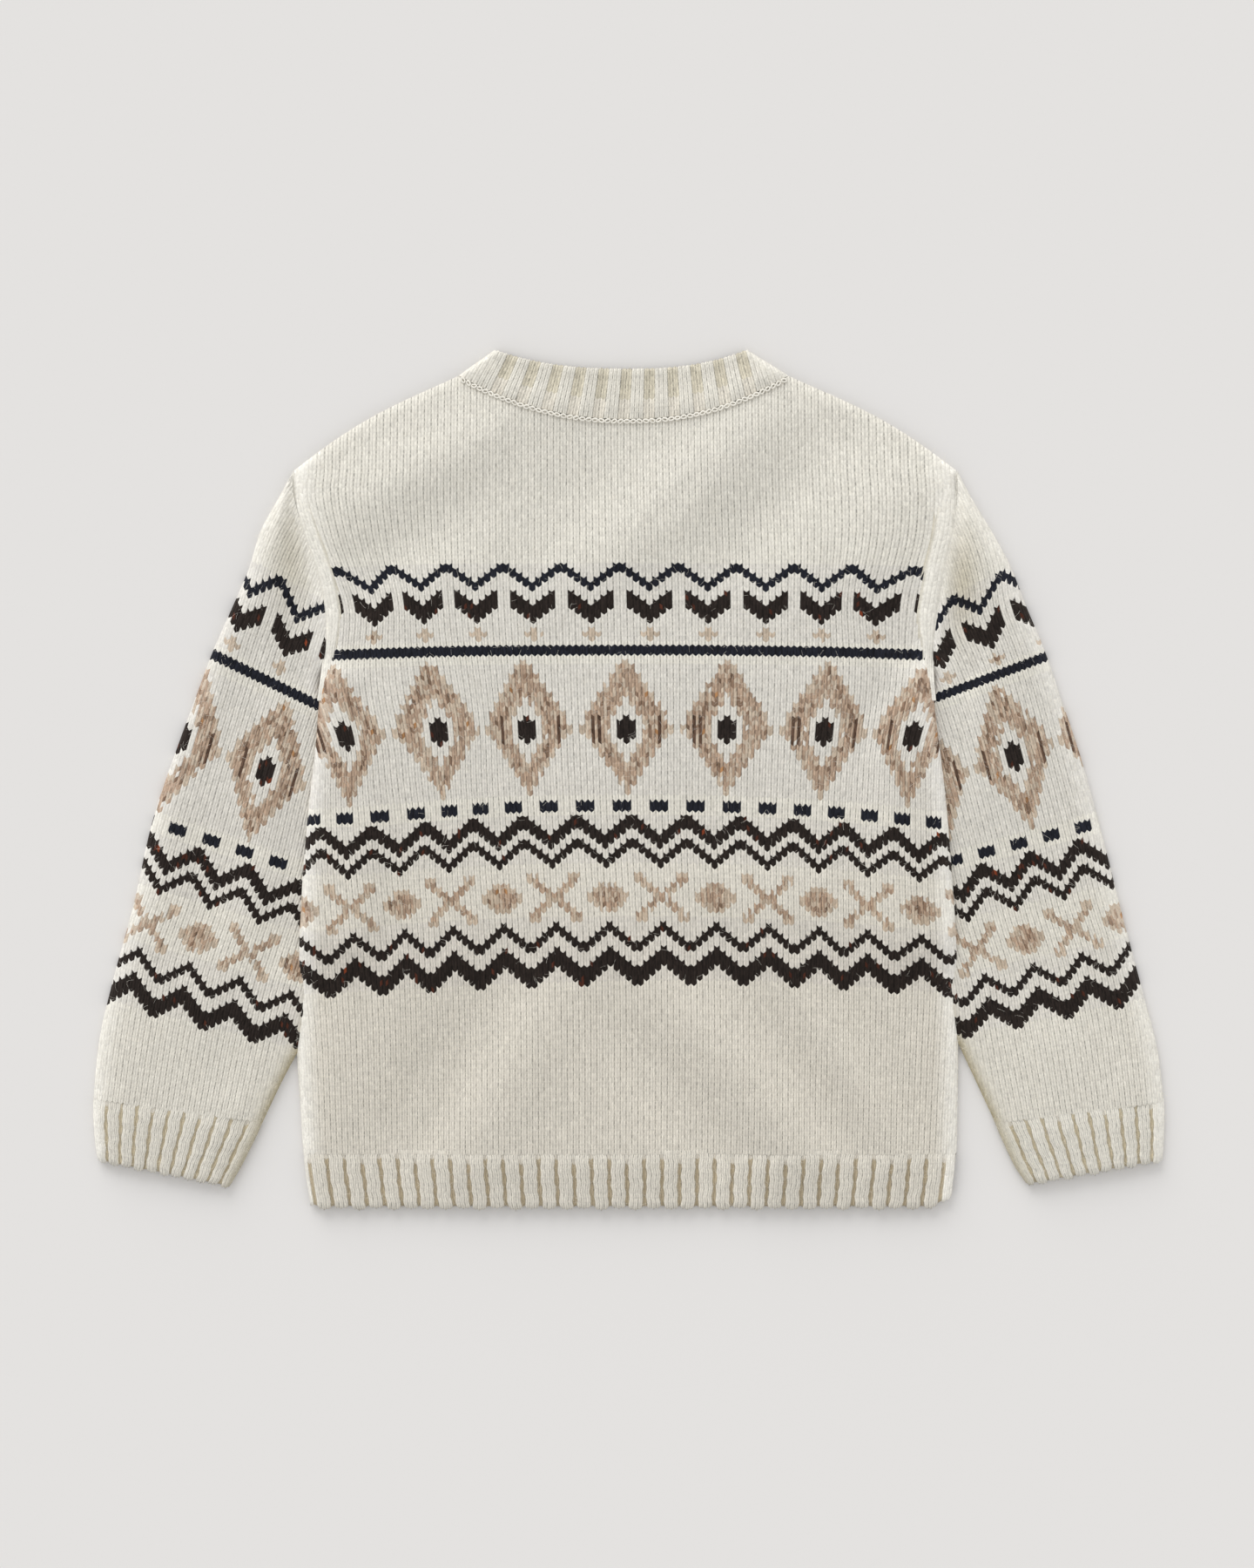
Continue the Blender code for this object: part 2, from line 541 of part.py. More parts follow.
def neckband():
    """A ribbed ring: its back half over its front half, folded into each other at both sides."""
    # from seam to free edge: place, share of a rib's height, how full the cloth's edge is
    rows = [(0.0, 0.2, 0.5), (0.07, 1.0, 1.0), (0.5, 1.0, 1.0), (0.93, 1.0, 1.0), (1.0, 0.35, 0.5)]
    _, rise = rib_columns(BAND_RIBS)
    rise = np.roll(rise[:-1], len(RIB_PROFILE) // 2)
    rise = np.append(rise, rise[0])  # half a rib at each end
    middle = WALL + SEAM / 2
    outer_rows, inner_rows = [], []
    for share, rib_share, full in rows:
        back = band_line(share, (BACK_DROP, BAND_BACK_DROP), True)
        front = band_line(share, (FRONT_DROP, BAND_FRONT_DROP), False)[::-1]
        steps = np.linspace(0, 1, len(back))
        fold = np.minimum(steps, 1 - steps) * (NECK_RIGHT - NECK_LEFT)
        top = quarter(fold, middle, 2 * WALL + SEAM + BAND_CLEAR, BAND_ROUND) - (1 - full) / 2
        top = top + BAND_RIB * rib_share * rise * ease(fold / (2 * BAND_ROUND) + 0.1)
        under = np.full(len(back), WALL + SEAM + BAND_CLEAR)
        under[[0, -1]] = middle
        far = np.linspace(0, 1, len(front))
        bend = np.minimum(far, 1 - far) * (NECK_RIGHT - NECK_LEFT)
        bottom = quarter(bend, middle, 0.0, BAND_ROUND)
        lining = np.full(len(front), WALL)
        inward = np.array([BAND_INSIDE, 0.0])
        back_in, front_in = back.copy(), front.copy()
        back_in[0] += inward
        back_in[-1] -= inward
        outer = np.concatenate([np.column_stack([back, top]), np.column_stack([front, bottom])[1:-1]])
        inner = np.concatenate([np.column_stack([back_in, under]),
                                np.column_stack([front_in, lining])[1:-1]])
        outer_rows.append(outer)
        inner_rows.append(inner)
    return wall("neckband", np.array(outer_rows), np.array(inner_rows), CREAM_RIB, ring=True)


for old in list(bpy.data.objects):
    bpy.data.objects.remove(old, do_unlink=True)

front_panel()
back_panel()
hem_rib_front()
hem_rib_back()
sleeve("sleeve_left", SLEEVE_LEFT, -1)
sleeve("sleeve_right", SLEEVE_RIGHT, 1)
cuff("cuff_left", CUFF_LEFT)
cuff("cuff_right", CUFF_RIGHT)
neckband()
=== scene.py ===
"""Child's nordic pullover in woollen stranded knit, laid flat on a pale table with its back showing.

Sizes are in millimetres as a knitter would write them, and become metres where a mesh is made. X runs
across the pullover, Y up it towards the neck, Z up from the table. Wales are the columns of stitches,
courses the rows, counted up from the hem rib. Wale 0 is the middle of the back.
"""

import math
from functools import partial

import bpy
import numpy as np
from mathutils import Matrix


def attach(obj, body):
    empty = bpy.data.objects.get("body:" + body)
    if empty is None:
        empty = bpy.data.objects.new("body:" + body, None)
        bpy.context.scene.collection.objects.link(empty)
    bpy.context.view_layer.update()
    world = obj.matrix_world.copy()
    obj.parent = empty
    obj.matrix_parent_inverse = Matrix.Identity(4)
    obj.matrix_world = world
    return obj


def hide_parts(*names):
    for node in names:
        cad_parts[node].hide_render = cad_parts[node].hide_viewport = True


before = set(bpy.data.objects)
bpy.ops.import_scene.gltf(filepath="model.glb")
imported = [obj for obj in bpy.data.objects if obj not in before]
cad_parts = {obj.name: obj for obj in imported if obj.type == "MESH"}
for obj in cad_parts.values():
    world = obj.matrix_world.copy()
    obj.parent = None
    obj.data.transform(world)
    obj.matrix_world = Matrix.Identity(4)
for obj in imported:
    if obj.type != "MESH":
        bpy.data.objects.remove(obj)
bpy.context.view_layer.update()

# ---- Back panel ----
# The knitted back is the top layer: stocking stitch in cream wool with seven bands of stranded
# colour, folded round the sides into the front. Each stitch is modelled as its two slanting legs.
MM = 0.001
WALL = 2.4  # thickness of the knit
SEAM = 0.3  # gap between pieces
MEET = WALL + SEAM / 2  # height at which a top layer folds into the layer under it
UPPER = 2 * WALL + SEAM  # top of the upper layer where it lies on the lower one
TOP_FOLD, UNDER_FOLD = 5.5, 3.2  # how round the layers fold at the body's edges
RELIEF = 0.6  # how far a stitch's legs stand up
BODY_WALES, BODY_COURSES = (-63, 63), (0, 168)
HEM_TOP, SHOULDER_Y, UNDERARM_Y = -211, 173.5, 66
NECK_LEFT, NECK_RIGHT, NECK_Y = -96, 90, 226.5
BACK_DROP, FRONT_DROP, NECK_CURVE = 25, 66, 2.2
SHOULDER_BULGE = 4.8
RIDGE_INSIDE = 8.5  # the rolled armhole edge covers this much of the panel

# Side edges of the body:  height, left, right
BODY_EDGES = np.array([
    (173.5, -188, 184), (164, -189, 184.8), (140, -183.8, 183.3), (119, -176.4, 178.6),
    (98, -171.6, 175), (80, -170.5, 172), (61, -171.5, 170.2), (42, -173.8, 171.4), (17, -175.8, 174.4),
    (-3, -178.2, 176.9), (-47, -182.3, 180.8), (-107, -185.4, 184.4), (-150, -186.6, 185.2),
    (-184, -184.6, 184.8), (-211, -182.8, 184.2), (-241, -178.6, 181)])

# How the courses climb at the middle of the back:  course, height
COURSES = np.array([
    (0, -211), (35, -116.4), (48, -80.4), (59, -50.2), (70, -20.5), (71, -18.6), (73, -12.9),
    (74, -9.2), (102, 63.9), (104, 68.9), (106, 74.4), (111, 87), (118, 105), (124, 120.2),
    (156, 201.6), (166, 227)])

# How the courses hang lower at the sides than in the middle:  height, by how much
BOW = np.array([(-211, 0), (-115, 7.5), (-60, 10.5), (-15, 11.2), (29.6, 4.6), (73, 3.2), (120, 2.2),
                (200, 0)])

# Where the cloth was pushed along as it was laid:  x, y, spread in x and in y, shift in x and in y
PUSHES = [(-113, 30, 26, 28, 6, 0), (-116, -22, 22, 16, 3.2, 0), (-166, 26, 12, 20, 4.5, 0),
          (-150, 96, 22, 14, 3.4, -0.5), (140, 100, 22, 16, -4, 0), (160, 28, 14, 22, -2.6, 0),
          (-112, -116, 52, 16, 0, -1.5), (62, -114, 60, 16, 0, 0.8), (-176, -44, 14, 18, 0, 4),
          (-108, 100, 26, 14, 0, 0.9)]

# How far the wales are drawn out to the folded sides:  height, by how much at the fold
DRAWN = np.array([(40, 0), (0, 1), (-45, 6.5), (-100, 11), (-150, 9.5), (-211, 8)])

# The middle wale's line and the width of a wale:  height, x of the middle, wale
WALES = np.array([(226, -4.6, 3.58), (173, -4.4, 3.6), (112, -3.3, 3.66), (66, -2.2, 3.62),
                  (29.6, -1.4, 3.55), (-32, 0.2, 3.41), (-84, 2.7, 3.34), (-120, 3.4, 3.32),
                  (-211, 3.4, 3.29)])
SIDE_NARROWING, NARROWED_WALE = 0.06, 48  # wales are this share narrower so many wales from the middle
LEAN_WALE = 46.5  # the last wale beside the armhole, which leans along with it

# Creases laid one by one:  x, y, angle, spread along, spread across, height (below 0: a trough)
BODY_CREASES = [
    (-124, 133, 30, 46, 14, -4.4), (-44, 146, 52, 44, 14, -2.4), (30, 160, 42, 50, 14, 5.4),
    (80, 152, 50, 44, 14, -3.8), (144, 144, 60, 40, 18, 2.8), (-118, 174, 28, 42, 13, 2.8),
    (-66, 200, 28, 22, 8, 0.6), (-166, -150, 82, 46, 11, 2), (-110, -176, 58, 48, 17, -5.4),
    (-60, -158, 60, 46, 15, 3.6), (26, -182, -53, 50, 12, -5.6), (64, -172, -53, 52, 12, 5.2),
    (100, -172, -58, 44, 9, -3.8), (124, -166, -60, 42, 9, 3.2), (148, -168, -68, 40, 9, -2.4),
    (-132, 36, -60, 34, 10, 1.6), (-104, 8, -62, 30, 9, -1.4), (138, 34, 52, 30, 10, -1.5),
    (20, 70, 80, 46, 24, 1.4), (-44, 60, 76, 60, 20, -1.4), (-30, -40, 10, 80, 17, -1),
    (70, -64, -20, 44, 14, 1.1)]

# The yarns, each with how much its lightness varies from leg to leg. The groove, cuff groove, purl and
# ladder yarns are the cream knit with painted shade, for the grooves of the ribs and the troughs of the
# neckband
YARNS = {"cream": ("#E9E5DA", 0.11), "veiled": ("#E3DFD6", 0.12), "navy": ("#20222B", 0.4),
         "brown": ("#2A2320", 0.4), "tan": ("#B39B86", 0.34), "fawn": ("#CAB9A5", 0.24),
         "chestnut": ("#4E2B20", 0.35), "rust": ("#7E3C24", 0.3), "oak": ("#8A725F", 0.35),
         "amber": ("#AC8058", 0.3), "shade": ("#5E493C", 0.5), "groove": ("#BFB298", 0.12),
         "purl": ("#E0DACD", 0.16), "ladder": ("#D2CBB8", 0.2), "cuff groove": ("#CDC1A6", 0.12)}
(CREAM, VEILED, NAVY, BROWN, TAN, FAWN, CHESTNUT, RUST, OAK, AMBER, SHADE, GROOVE_SHADE, PURL_SHADE, LADDER_SHADE,
 CUFF_GROOVE_SHADE) = range(len(YARNS))

# Where a motif's middle falls on each piece, as a wale:  body, left sleeve, right sleeve
WAVES, CROSSES, DASHES, DIAMONDS, PLUSES = range(5)
CROSS_ROW, DIAMOND_ROW = 52.5, 87.5  # the middle of two bands, as a course
MIDDLES = {"body": (5, 5, 5, 0, 4), "left": (0, 9, 3, 3, 0), "right": (0, 0, 0, -3, -1)}


def through(table, column, at):
    """A smooth curve through one column of a table, whose first column falls from row to row."""
    x, y = -table[:, 0], table[:, column]
    at = np.clip(-np.asarray(at, float), x[0], x[-1])
    steep = np.gradient(y, x)
    i = np.clip(np.searchsorted(x, at, side="right") - 1, 0, len(x) - 2)
    span = x[i + 1] - x[i]
    t = (at - x[i]) / span
    start = y[i] * (1 + 2 * t) * (1 - t) ** 2 + span * steep[i] * t * (1 - t) ** 2
    return start + y[i + 1] * t * t * (3 - 2 * t) + span * steep[i + 1] * t * t * (t - 1)


def ease(t):
    t = np.clip(t, 0, 1)
    return t * t * (3 - 2 * t)


def quarter(distance, low, high, radius):
    """A quarter round from low at distance 0 to high at the radius."""
    t = np.clip(1 - distance / radius, 0, 1)
    return low + (high - low) * np.sqrt(1 - t * t)


def bell(a, b):
    return np.exp(-0.5 * a ** 2 - 0.5 * b ** 2)


def creased(x, y, table):
    total = np.zeros(np.broadcast(x, y).shape)
    for crease_x, crease_y, angle, length, width, height in table:
        c, s = math.cos(math.radians(angle)), math.sin(math.radians(angle))
        along = (x - crease_x) * c + (y - crease_y) * s
        across = (y - crease_y) * c - (x - crease_x) * s
        total = total + height * bell(along / length, across / width)
    return total


def linear(hex_colour):
    """sRGB hex to linear red, green, blue and alpha."""
    parts = [int(hex_colour[k : k + 2], 16) / 255 for k in (1, 3, 5)]
    return [c / 12.92 if c <= 0.04045 else ((c + 0.055) / 1.055) ** 2.4 for c in parts] + [1]


def put(name, data):
    obj = bpy.data.objects.new(name, data)
    bpy.context.scene.collection.objects.link(obj)
    return obj


def stand_in(piece, node):
    """Let a piece replace a node of the solids, on their one rigid body."""
    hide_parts(node)
    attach(piece, "root")


def add(tree, kind, inputs=(), **settings):
    """The outputs of a new node with its settings; an input is a value, or a socket to link from."""
    node = tree.nodes.new(kind)
    for name, value in settings.items():
        setattr(node, name, value)
    for key, value in dict(inputs).items():
        if isinstance(value, bpy.types.NodeSocket):
            tree.links.new(value, node.inputs[key])
        else:
            node.inputs[key].default_value = value
    return node.outputs


def wool(name, gap, fuzz):
    """Woollen-spun yarn, knitted and lightly brushed: matt, and a little lighter at grazing angles from its
    loose fibres. Painted shade darkens it where two wales meet and at the edges of each leg, with a faint
    painted highlight at a leg's middle. Its colours are the mesh's "yarn" colours, whose alpha sets how
    much of that painted shade shows."""
    material = bpy.data.materials.new(name)
    material.use_nodes = True
    material.node_tree.nodes.clear()
    node = partial(add, material.node_tree)
    dyed = node("ShaderNodeAttribute", attribute_name="yarn")
    place = node("ShaderNodeTexCoord")["Object"]
    stitch = node("ShaderNodeSeparateXYZ", {0: node("ShaderNodeUVMap", uv_map="stitches")["UV"]})
    waves = []
    for axis, turns, power in ((0, 2 * math.pi, 0.5), (1, math.pi, 0.5), (0, math.pi, 1)):
        turn = node("ShaderNodeMath", {0: stitch[axis], 1: turns}, operation="MULTIPLY")
        sine = node("ShaderNodeMath", {0: turn[0]}, operation="SINE")
        size = node("ShaderNodeMath", {0: sine[0]}, operation="ABSOLUTE")
        waves.append(node("ShaderNodeMath", {0: size[0], 1: power}, operation="POWER")[0])
    half_wales, courses, wales = waves
    bead = node("ShaderNodeMapRange", {"Value": courses, "To Min": 0.55})
    leg = node("ShaderNodeMath", {0: half_wales, 1: bead[0]}, operation="MULTIPLY")[0]
    # fibres about 0.3 mm apart, and the heather of the yarn about 2 mm long
    fibres = node("ShaderNodeTexNoise", {
        "Vector": place, "Scale": 2600, "Detail": 3, "Roughness": 0.7, "Distortion": 0.6})
    heather = node("ShaderNodeTexNoise", {"Vector": place, "Scale": 560, "Detail": 4, "Roughness": 0.75})
    # painted shade: the gap between two wales is an uneven row of dark dashes, bridged once a course
    uneven = node("ShaderNodeTexNoise", {"Vector": place, "Scale": 330, "Detail": 1})
    bridge = node("ShaderNodeMapRange", {
        "Value": courses, "From Min": 0.2, "From Max": 0.85, "To Min": 0.5, "To Max": 0})
    soft = node("ShaderNodeMapRange", {
        "Value": uneven[0], "From Min": 0.35, "From Max": 0.65, "To Max": 0.22})
    over = node("ShaderNodeMath", {0: bridge[0], 1: soft[0]}, operation="ADD")
    open_gap = node("ShaderNodeMath", {0: wales, 1: over[0]}, operation="ADD")
    between = node("ShaderNodeMapRange", {"Value": open_gap[0], "From Max": 0.5, "To Min": gap})
    # painted shade at the edges of each leg, and a faint painted highlight at its middle
    legs = node("ShaderNodeMapRange", {"Value": leg, "From Max": 0.9, "To Min": 0.78, "To Max": 1.03})
    grain = node("ShaderNodeMapRange", {
        "Value": heather[0], "From Min": 0.3, "From Max": 0.7, "To Min": 0.87, "To Max": 1.08})
    shade = node("ShaderNodeMath", {0: between[0], 1: legs[0]}, operation="MULTIPLY")
    smooth = node("ShaderNodeMix", {0: dyed["Alpha"], 2: 1, 3: shade[0]})
    both = node("ShaderNodeMath", {0: smooth[0], 1: grain[0]}, operation="MULTIPLY")
    colour = node("ShaderNodeVectorMath", {0: dyed["Color"], 1: both[0]}, operation="MULTIPLY")
    round_legs = node("ShaderNodeBump", {"Height": leg, "Strength": 0.55, "Distance": 0.0007})
    hairy = node("ShaderNodeBump", {
        "Height": fibres[0], "Strength": fuzz, "Distance": 0.0003, "Normal": round_legs[0]})
    shader = node("ShaderNodeBsdfPrincipled", {
        "Base Color": colour[0], "Roughness": 0.95, "IOR": 1.45, "Specular IOR Level": 0.1,
        "Sheen Weight": 0.08, "Sheen Roughness": 0.6, "Sheen Tint": linear("#F4F0E6"),
        "Normal": hairy[0]})
    node("ShaderNodeOutputMaterial", {"Surface": shader[0]})
    return material


def pick(distance, *ranges):
    """True where the distance is in one of the (lowest, highest) ranges."""
    return np.any([(distance >= low) & (distance <= high) for low, high in ranges], axis=0)


def stranded(n, k, piece):
    """The yarn of the stitch in wale n and course k: the chart of the colour bands, from the hem up."""
    middles = MIDDLES[piece]
    n, k = np.broadcast_arrays(n, k)
    yarn = np.full(n.shape, CREAM)
    yarn[pick(k, (36, 48), (60, 69), (74, 101), (107, 123))] = VEILED  # over carried strands

    def away(band, repeat):
        return np.abs((n - middles[band] + repeat // 2) % repeat - repeat // 2)

    step = away(WAVES, 9)  # two mirrored waves, thick and thin, of nine-stitch zigzags
    for rise, rows in ((4 - step, (35, 36, 37, 38, 42, 43)), (step, (59, 60, 63, 64, 65))):
        for row in rows:
            yarn[k == row + rise] = BROWN

    row, cross = np.abs(k - CROSS_ROW), away(CROSSES, 18)
    lozenge = np.abs(cross - 9)
    for step, wide in enumerate(((0, 1), (1, 2), (2, 3), (3, 4), (3, 4))):
        yarn[(row == step + 0.5) & pick(cross, wide)] = TAN if step < 4 else FAWN
    for step, wide in enumerate((3, 2, 1)):
        yarn[(row == step + 0.5) & (lozenge <= wide)] = FAWN
        yarn[(row == step + 0.5) & (lozenge < wide)] = TAN

    yarn[pick(k, (71, 72)) & (away(DASHES, 6) <= 1)] = NAVY

    row, side = np.abs(k - DIAMOND_ROW), away(DIAMONDS, 16)
    full = np.where(k > DIAMOND_ROW, 3.5, 1.5)  # it keeps its full width for longer above its middle
    yarn[(row < 14) & (side <= 6 - np.clip(np.ceil((row - full) / 2), 0, 9))] = TAN
    yarn[(row < 1) & (side == 7)] = FAWN
    yarn[(k == 102) & (side == 0)] = FAWN
    yarn[(row < 7) & (side <= 2 - np.clip(np.ceil((row - 2.5) / 2), 0, 9))] = VEILED
    yarn[(row < 3) & (side <= np.where(row > 2, 0, 1))] = BROWN

    yarn[pick(k, (104, 105))] = NAVY
    step = away(PLUSES, 9)
    yarn[((k == 108) & (step <= 1)) | (pick(k, (107, 109)) & (step == 0))] = FAWN
    for row in (111, 112, 113, 114):
        yarn[(k == row + step) & (step <= 3)] = BROWN
    for row in (118, 119):
        yarn[k == row + step] = NAVY
    return yarn


def flecked(yarn, seed):
    """The heather yarns: a few legs of the brown are redder, and the tan is streaked up its wales, with
    the cream showing through at its edges."""
    random = np.random.default_rng(seed)
    by_leg, by_row = random.random(yarn.shape), random.random(yarn.shape)
    starts = random.integers(0, 3, yarn.shape[1])
    rows = (np.arange(yarn.shape[0])[:, None] + starts) // 3
    by_streak = random.random((yarn.shape[0] // 3 + 2, yarn.shape[1]))[rows, np.arange(yarn.shape[1])]
    tan = (yarn == TAN) | (yarn == FAWN)
    inside = tan.copy()
    for across, down in ((0, 1), (0, -1), (1, 0), (-1, 0), (2, 0), (-2, 0)):
        inside &= np.roll(tan, (down, across), axis=(0, 1))
    brown, rim, streak = yarn == BROWN, tan & ~inside, by_streak + by_row
    for there, dyed in ((brown & (by_leg < 0.03), CHESTNUT), (brown & (by_leg > 0.997), RUST),
                        (tan & (streak < 0.75), FAWN), (inside & (streak > 1.5), OAK),
                        (rim & (by_leg < 0.4), FAWN), (rim & (by_leg > 0.95), VEILED),
                        (inside & (by_leg > 0.992), AMBER)):
        yarn[there] = dyed
    return yarn


def zigzag(u):
    """How far a course rises from the middle of a wale to its edge, in courses."""
    return np.abs(u - np.round(u))


HALVINGS = 26
MERGED = 500  # corners that round to the same 1/500 mm are one


def halved(over, count, outer, inner):
    """Closes in on an edge from beyond and from within it; over tests where a half lies."""
    beyond, within = np.full(count, float(outer)), np.full(count, float(inner))
    for _ in range(HALVINGS):
        half = (beyond + within) / 2
        out = over(half)
        beyond, within = np.where(out, half, beyond), np.where(out, within, half)
    return beyond, within


def limit(over, place, outer, inner, rows):
    """The wale at which each course crosses an edge, from a wale beyond the edge to one within it."""
    return sum(halved(lambda u: over(*place(u, rows + zigzag(u))), len(rows), outer, inner)) / 2


def sewn_mesh(name, points, corners, yarn, stitches, tones, material):
    """An object from a grid's quads, with the corners that lie on each other merged. tones are the points'
    own factors for red, green and blue, which carry painted shade and painted highlight, and for how much
    painted shade shows in the gaps between the stitches."""
    keys, merged = np.unique(np.round(points * MERGED).astype(np.int64), axis=0, return_inverse=True)
    merged = merged.reshape(-1)
    spots = np.zeros((len(keys), 3))
    spots[merged] = points
    ids = merged[corners]
    whole = np.all(np.diff(np.sort(ids, axis=1), axis=1) > 0, axis=1)
    faces, kept, tints = ids[whole].tolist(), corners[whole].tolist(), yarn[whole].tolist()
    for quad, ours, tint in zip(ids[~whole].tolist(), corners[~whole].tolist(), yarn[~whole].tolist()):
        loop = [j for j in range(4) if quad[j] != quad[j - 1]]
        if len({quad[j] for j in loop}) == len(loop) == 3:
            faces.append([quad[j] for j in loop])
            kept.append([ours[j] for j in loop])
            tints.append(tint)
    mesh = bpy.data.meshes.new(name)
    mesh.from_pydata((spots * MM).tolist(), [], faces)
    loops = np.concatenate([np.array(k) for k in kept])
    palette = np.array([linear(colour) for colour, _ in YARNS.values()])
    swing = np.array([amount for _, amount in YARNS.values()])
    corner_counts = [len(f) for f in faces]
    spread = np.repeat(np.array(tints), corner_counts)
    lightness = np.random.default_rng(len(faces)).normal(size=len(faces)).clip(-2, 2) / 2
    lightness = 1 + swing[spread] * np.repeat(lightness, corner_counts)
    tint = palette[spread] * np.stack([lightness] * 3 + [np.ones(len(spread))], axis=1) * tones[loops]
    mesh.color_attributes.new("yarn", "FLOAT_COLOR", "CORNER").data.foreach_set("color", tint.ravel())
    mesh.uv_layers.new(name="stitches").data.foreach_set("uv", stitches[loops].ravel())
    mesh.shade_smooth()
    mesh.materials.append(material)
    return put(name, mesh)


def knit(name, place, height, edges, wales, courses, yarn_of, material, top=None, parts=4,
         relief=RELIEF, down=False, toothed=False, low_shade=0, fold_highlight=1, shaded=None):
    """A knitted piece. place turns a wale and a course into x and y, and height gives z. edges are two
    tests for points beyond its left and right edge, top one for points beyond its upper edge. Its foot is
    straight, or toothed with the points of the lowest stitches. low_shade is how much painted shade deepens
    and warms its cream low down, fold_highlight how much painted highlight its folds get, and shaded how
    much painted shade, tan and dim, each point gets, from 0 to 1."""
    (first, last), (low, high) = wales, courses
    u = np.arange((last - first + 1) * parts + 1) / parts + first - 0.5
    rows = np.arange(low, high + 1).astype(float)
    left, right = np.full(len(rows), u[0]), np.full(len(rows), u[-1])
    if edges is not None:
        left = limit(edges[0], place, u[0], u[-1], rows)
        right = limit(edges[1], place, u[-1], u[0], rows)
    left, right = left[:, None], right[:, None]
    u_grid = np.clip(u[None, :], left, right)
    v_grid = rows[:, None] + zigzag(u_grid)
    if not toothed:
        v_grid[0] = low
    if top is not None:
        fine = np.linspace(u[0], u[-1], 1500)
        _, within = halved(lambda v: top(*place(fine, v)), len(fine), high, low)
        v_grid = np.minimum(v_grid, np.interp(u_grid, fine, within))
    x, y = place(u_grid, v_grid)
    part = (u_grid + 0.5) % 1
    legs = np.abs(np.sin(2 * math.pi * part)) + 0.45 * np.exp(-(((part - 0.5) / 0.1) ** 2))
    near = np.minimum(u_grid - left, right - u_grid)
    z = height(x, y, u_grid, v_grid, left, right)
    raised = relief(u_grid, v_grid) if callable(relief) else relief
    z = z + (-1 if down else 1) * raised * legs * ease(near / 1.5)
    points = np.stack([x, y, z], axis=2).reshape(-1, 3)
    flat = ease((near - 0.6) / 4)  # stitches lie smoother on a fold, with less painted gap shade, and get a painted highlight, lighter and cooler
    # painted shade: the cream is painted deeper and warmer low down
    low_shade_tint = (low_shade * ease((40 - y) / 170) * flat)[..., None] * np.array([0.1, 0.125, 0.15])
    # painted highlight on the folds
    pale = 1 + fold_highlight * (1 - flat)[..., None] * np.array([0.14, 0.15, 0.18])
    # painted shade, tan and dim, where shaded asks for it
    if shaded is not None:
        shade_share = shaded(x, y, u_grid, left, right)[..., None]
        pale = (pale - 1) * (1 - shade_share) + 1 - shade_share * np.array([0.46, 0.51, 0.64])
    tones = np.concatenate([pale * (1 - low_shade_tint), flat[..., None]], axis=2)
    stitches = np.stack([u_grid + 0.5, v_grid - np.where(v_grid > low, zigzag(u_grid), 0)], axis=2)
    count = len(u)
    at = (np.arange(len(rows) - 1)[:, None] * count + np.arange(count - 1)).reshape(-1)
    corners = np.stack([at, at + 1, at + 1 + count, at + count], axis=1)
    if down:
        corners = corners[:, ::-1]
    leg = np.arange(2 * (last - first + 1))  # colours are dealt leg by leg, two to a stitch
    yarn = yarn_of((leg // 2 + first)[None, :], rows[:-1, None], (leg % 2)[None, :]).astype(int)
    yarn = np.repeat(np.broadcast_to(yarn, (len(rows) - 1, len(leg))), parts // 2, axis=1)
    return sewn_mesh(name, points, corners, yarn.reshape(-1), stitches.reshape(-1, 2),
                     tones.reshape(-1, 4), material)


def neckline(x, drop):
    t = np.where(x < 0, x / NECK_LEFT, x / NECK_RIGHT)
    return NECK_Y - drop * (1 - np.clip(t, 0, 1) ** NECK_CURVE)


def shoulder_line(x):
    """Height of the shoulder fold, which bulges a little over a straight slope."""
    neck = np.where(x < 0, NECK_LEFT, NECK_RIGHT)
    tip = np.where(x < 0, BODY_EDGES[0, 1], BODY_EDGES[0, 2])
    t = np.clip((x - neck) / (tip - neck), 0, 1)
    return NECK_Y + (SHOULDER_Y - NECK_Y) * t + SHOULDER_BULGE * np.sin(math.pi * t ** 1.2)


def over_top(drop):
    """Tests for points above the shoulders and the neckline, which dips by drop."""
    return lambda x, y: y > np.where(
        (x > NECK_LEFT) & (x < NECK_RIGHT), neckline(x, drop), shoulder_line(x))


def sides(y):
    """x of the body's left and right edge at a height."""
    return through(BODY_EDGES, 1, y), through(BODY_EDGES, 2, y)


def body_place(u, v):
    """Plan of the body's stitches."""
    base = np.interp(v, COURSES[:, 0], COURSES[:, 1])
    middle, wale = through(WALES, 1, base), through(WALES, 2, base)
    x = middle + wale * u * (1 - SIDE_NARROWING * (u / NARROWED_WALE) ** 2)
    left, right = sides(base)
    reach = wale * LEAN_WALE * (1 - SIDE_NARROWING * (LEAN_WALE / NARROWED_WALE) ** 2)
    lean = np.where(u < 0, left + RIDGE_INSIDE - middle + reach, right - RIDGE_INSIDE - middle - reach)
    x = x + lean * np.clip(np.abs(u) / LEAN_WALE, 0, 1.06) ** 4 * ease((base - 12) / 54)
    y = base - np.interp(base, BOW[:, 0], BOW[:, 1]) * np.abs(x / 180) ** 2.4
    shift_x = np.sign(x) * through(DRAWN, 1, base) * np.clip((np.abs(x) - 128) / 48, 0, None) ** 1.6
    shift_y = 0
    for push_x, push_y, wide, high, across, up in PUSHES:
        share = bell((x - push_x) / wide, (y - push_y) / high)
        shift_x, shift_y = shift_x + across * share, shift_y + up * share
    return x + shift_x, y + shift_y


BODY_SIDES = (lambda x, y: x < sides(y)[0], lambda x, y: x > sides(y)[1])

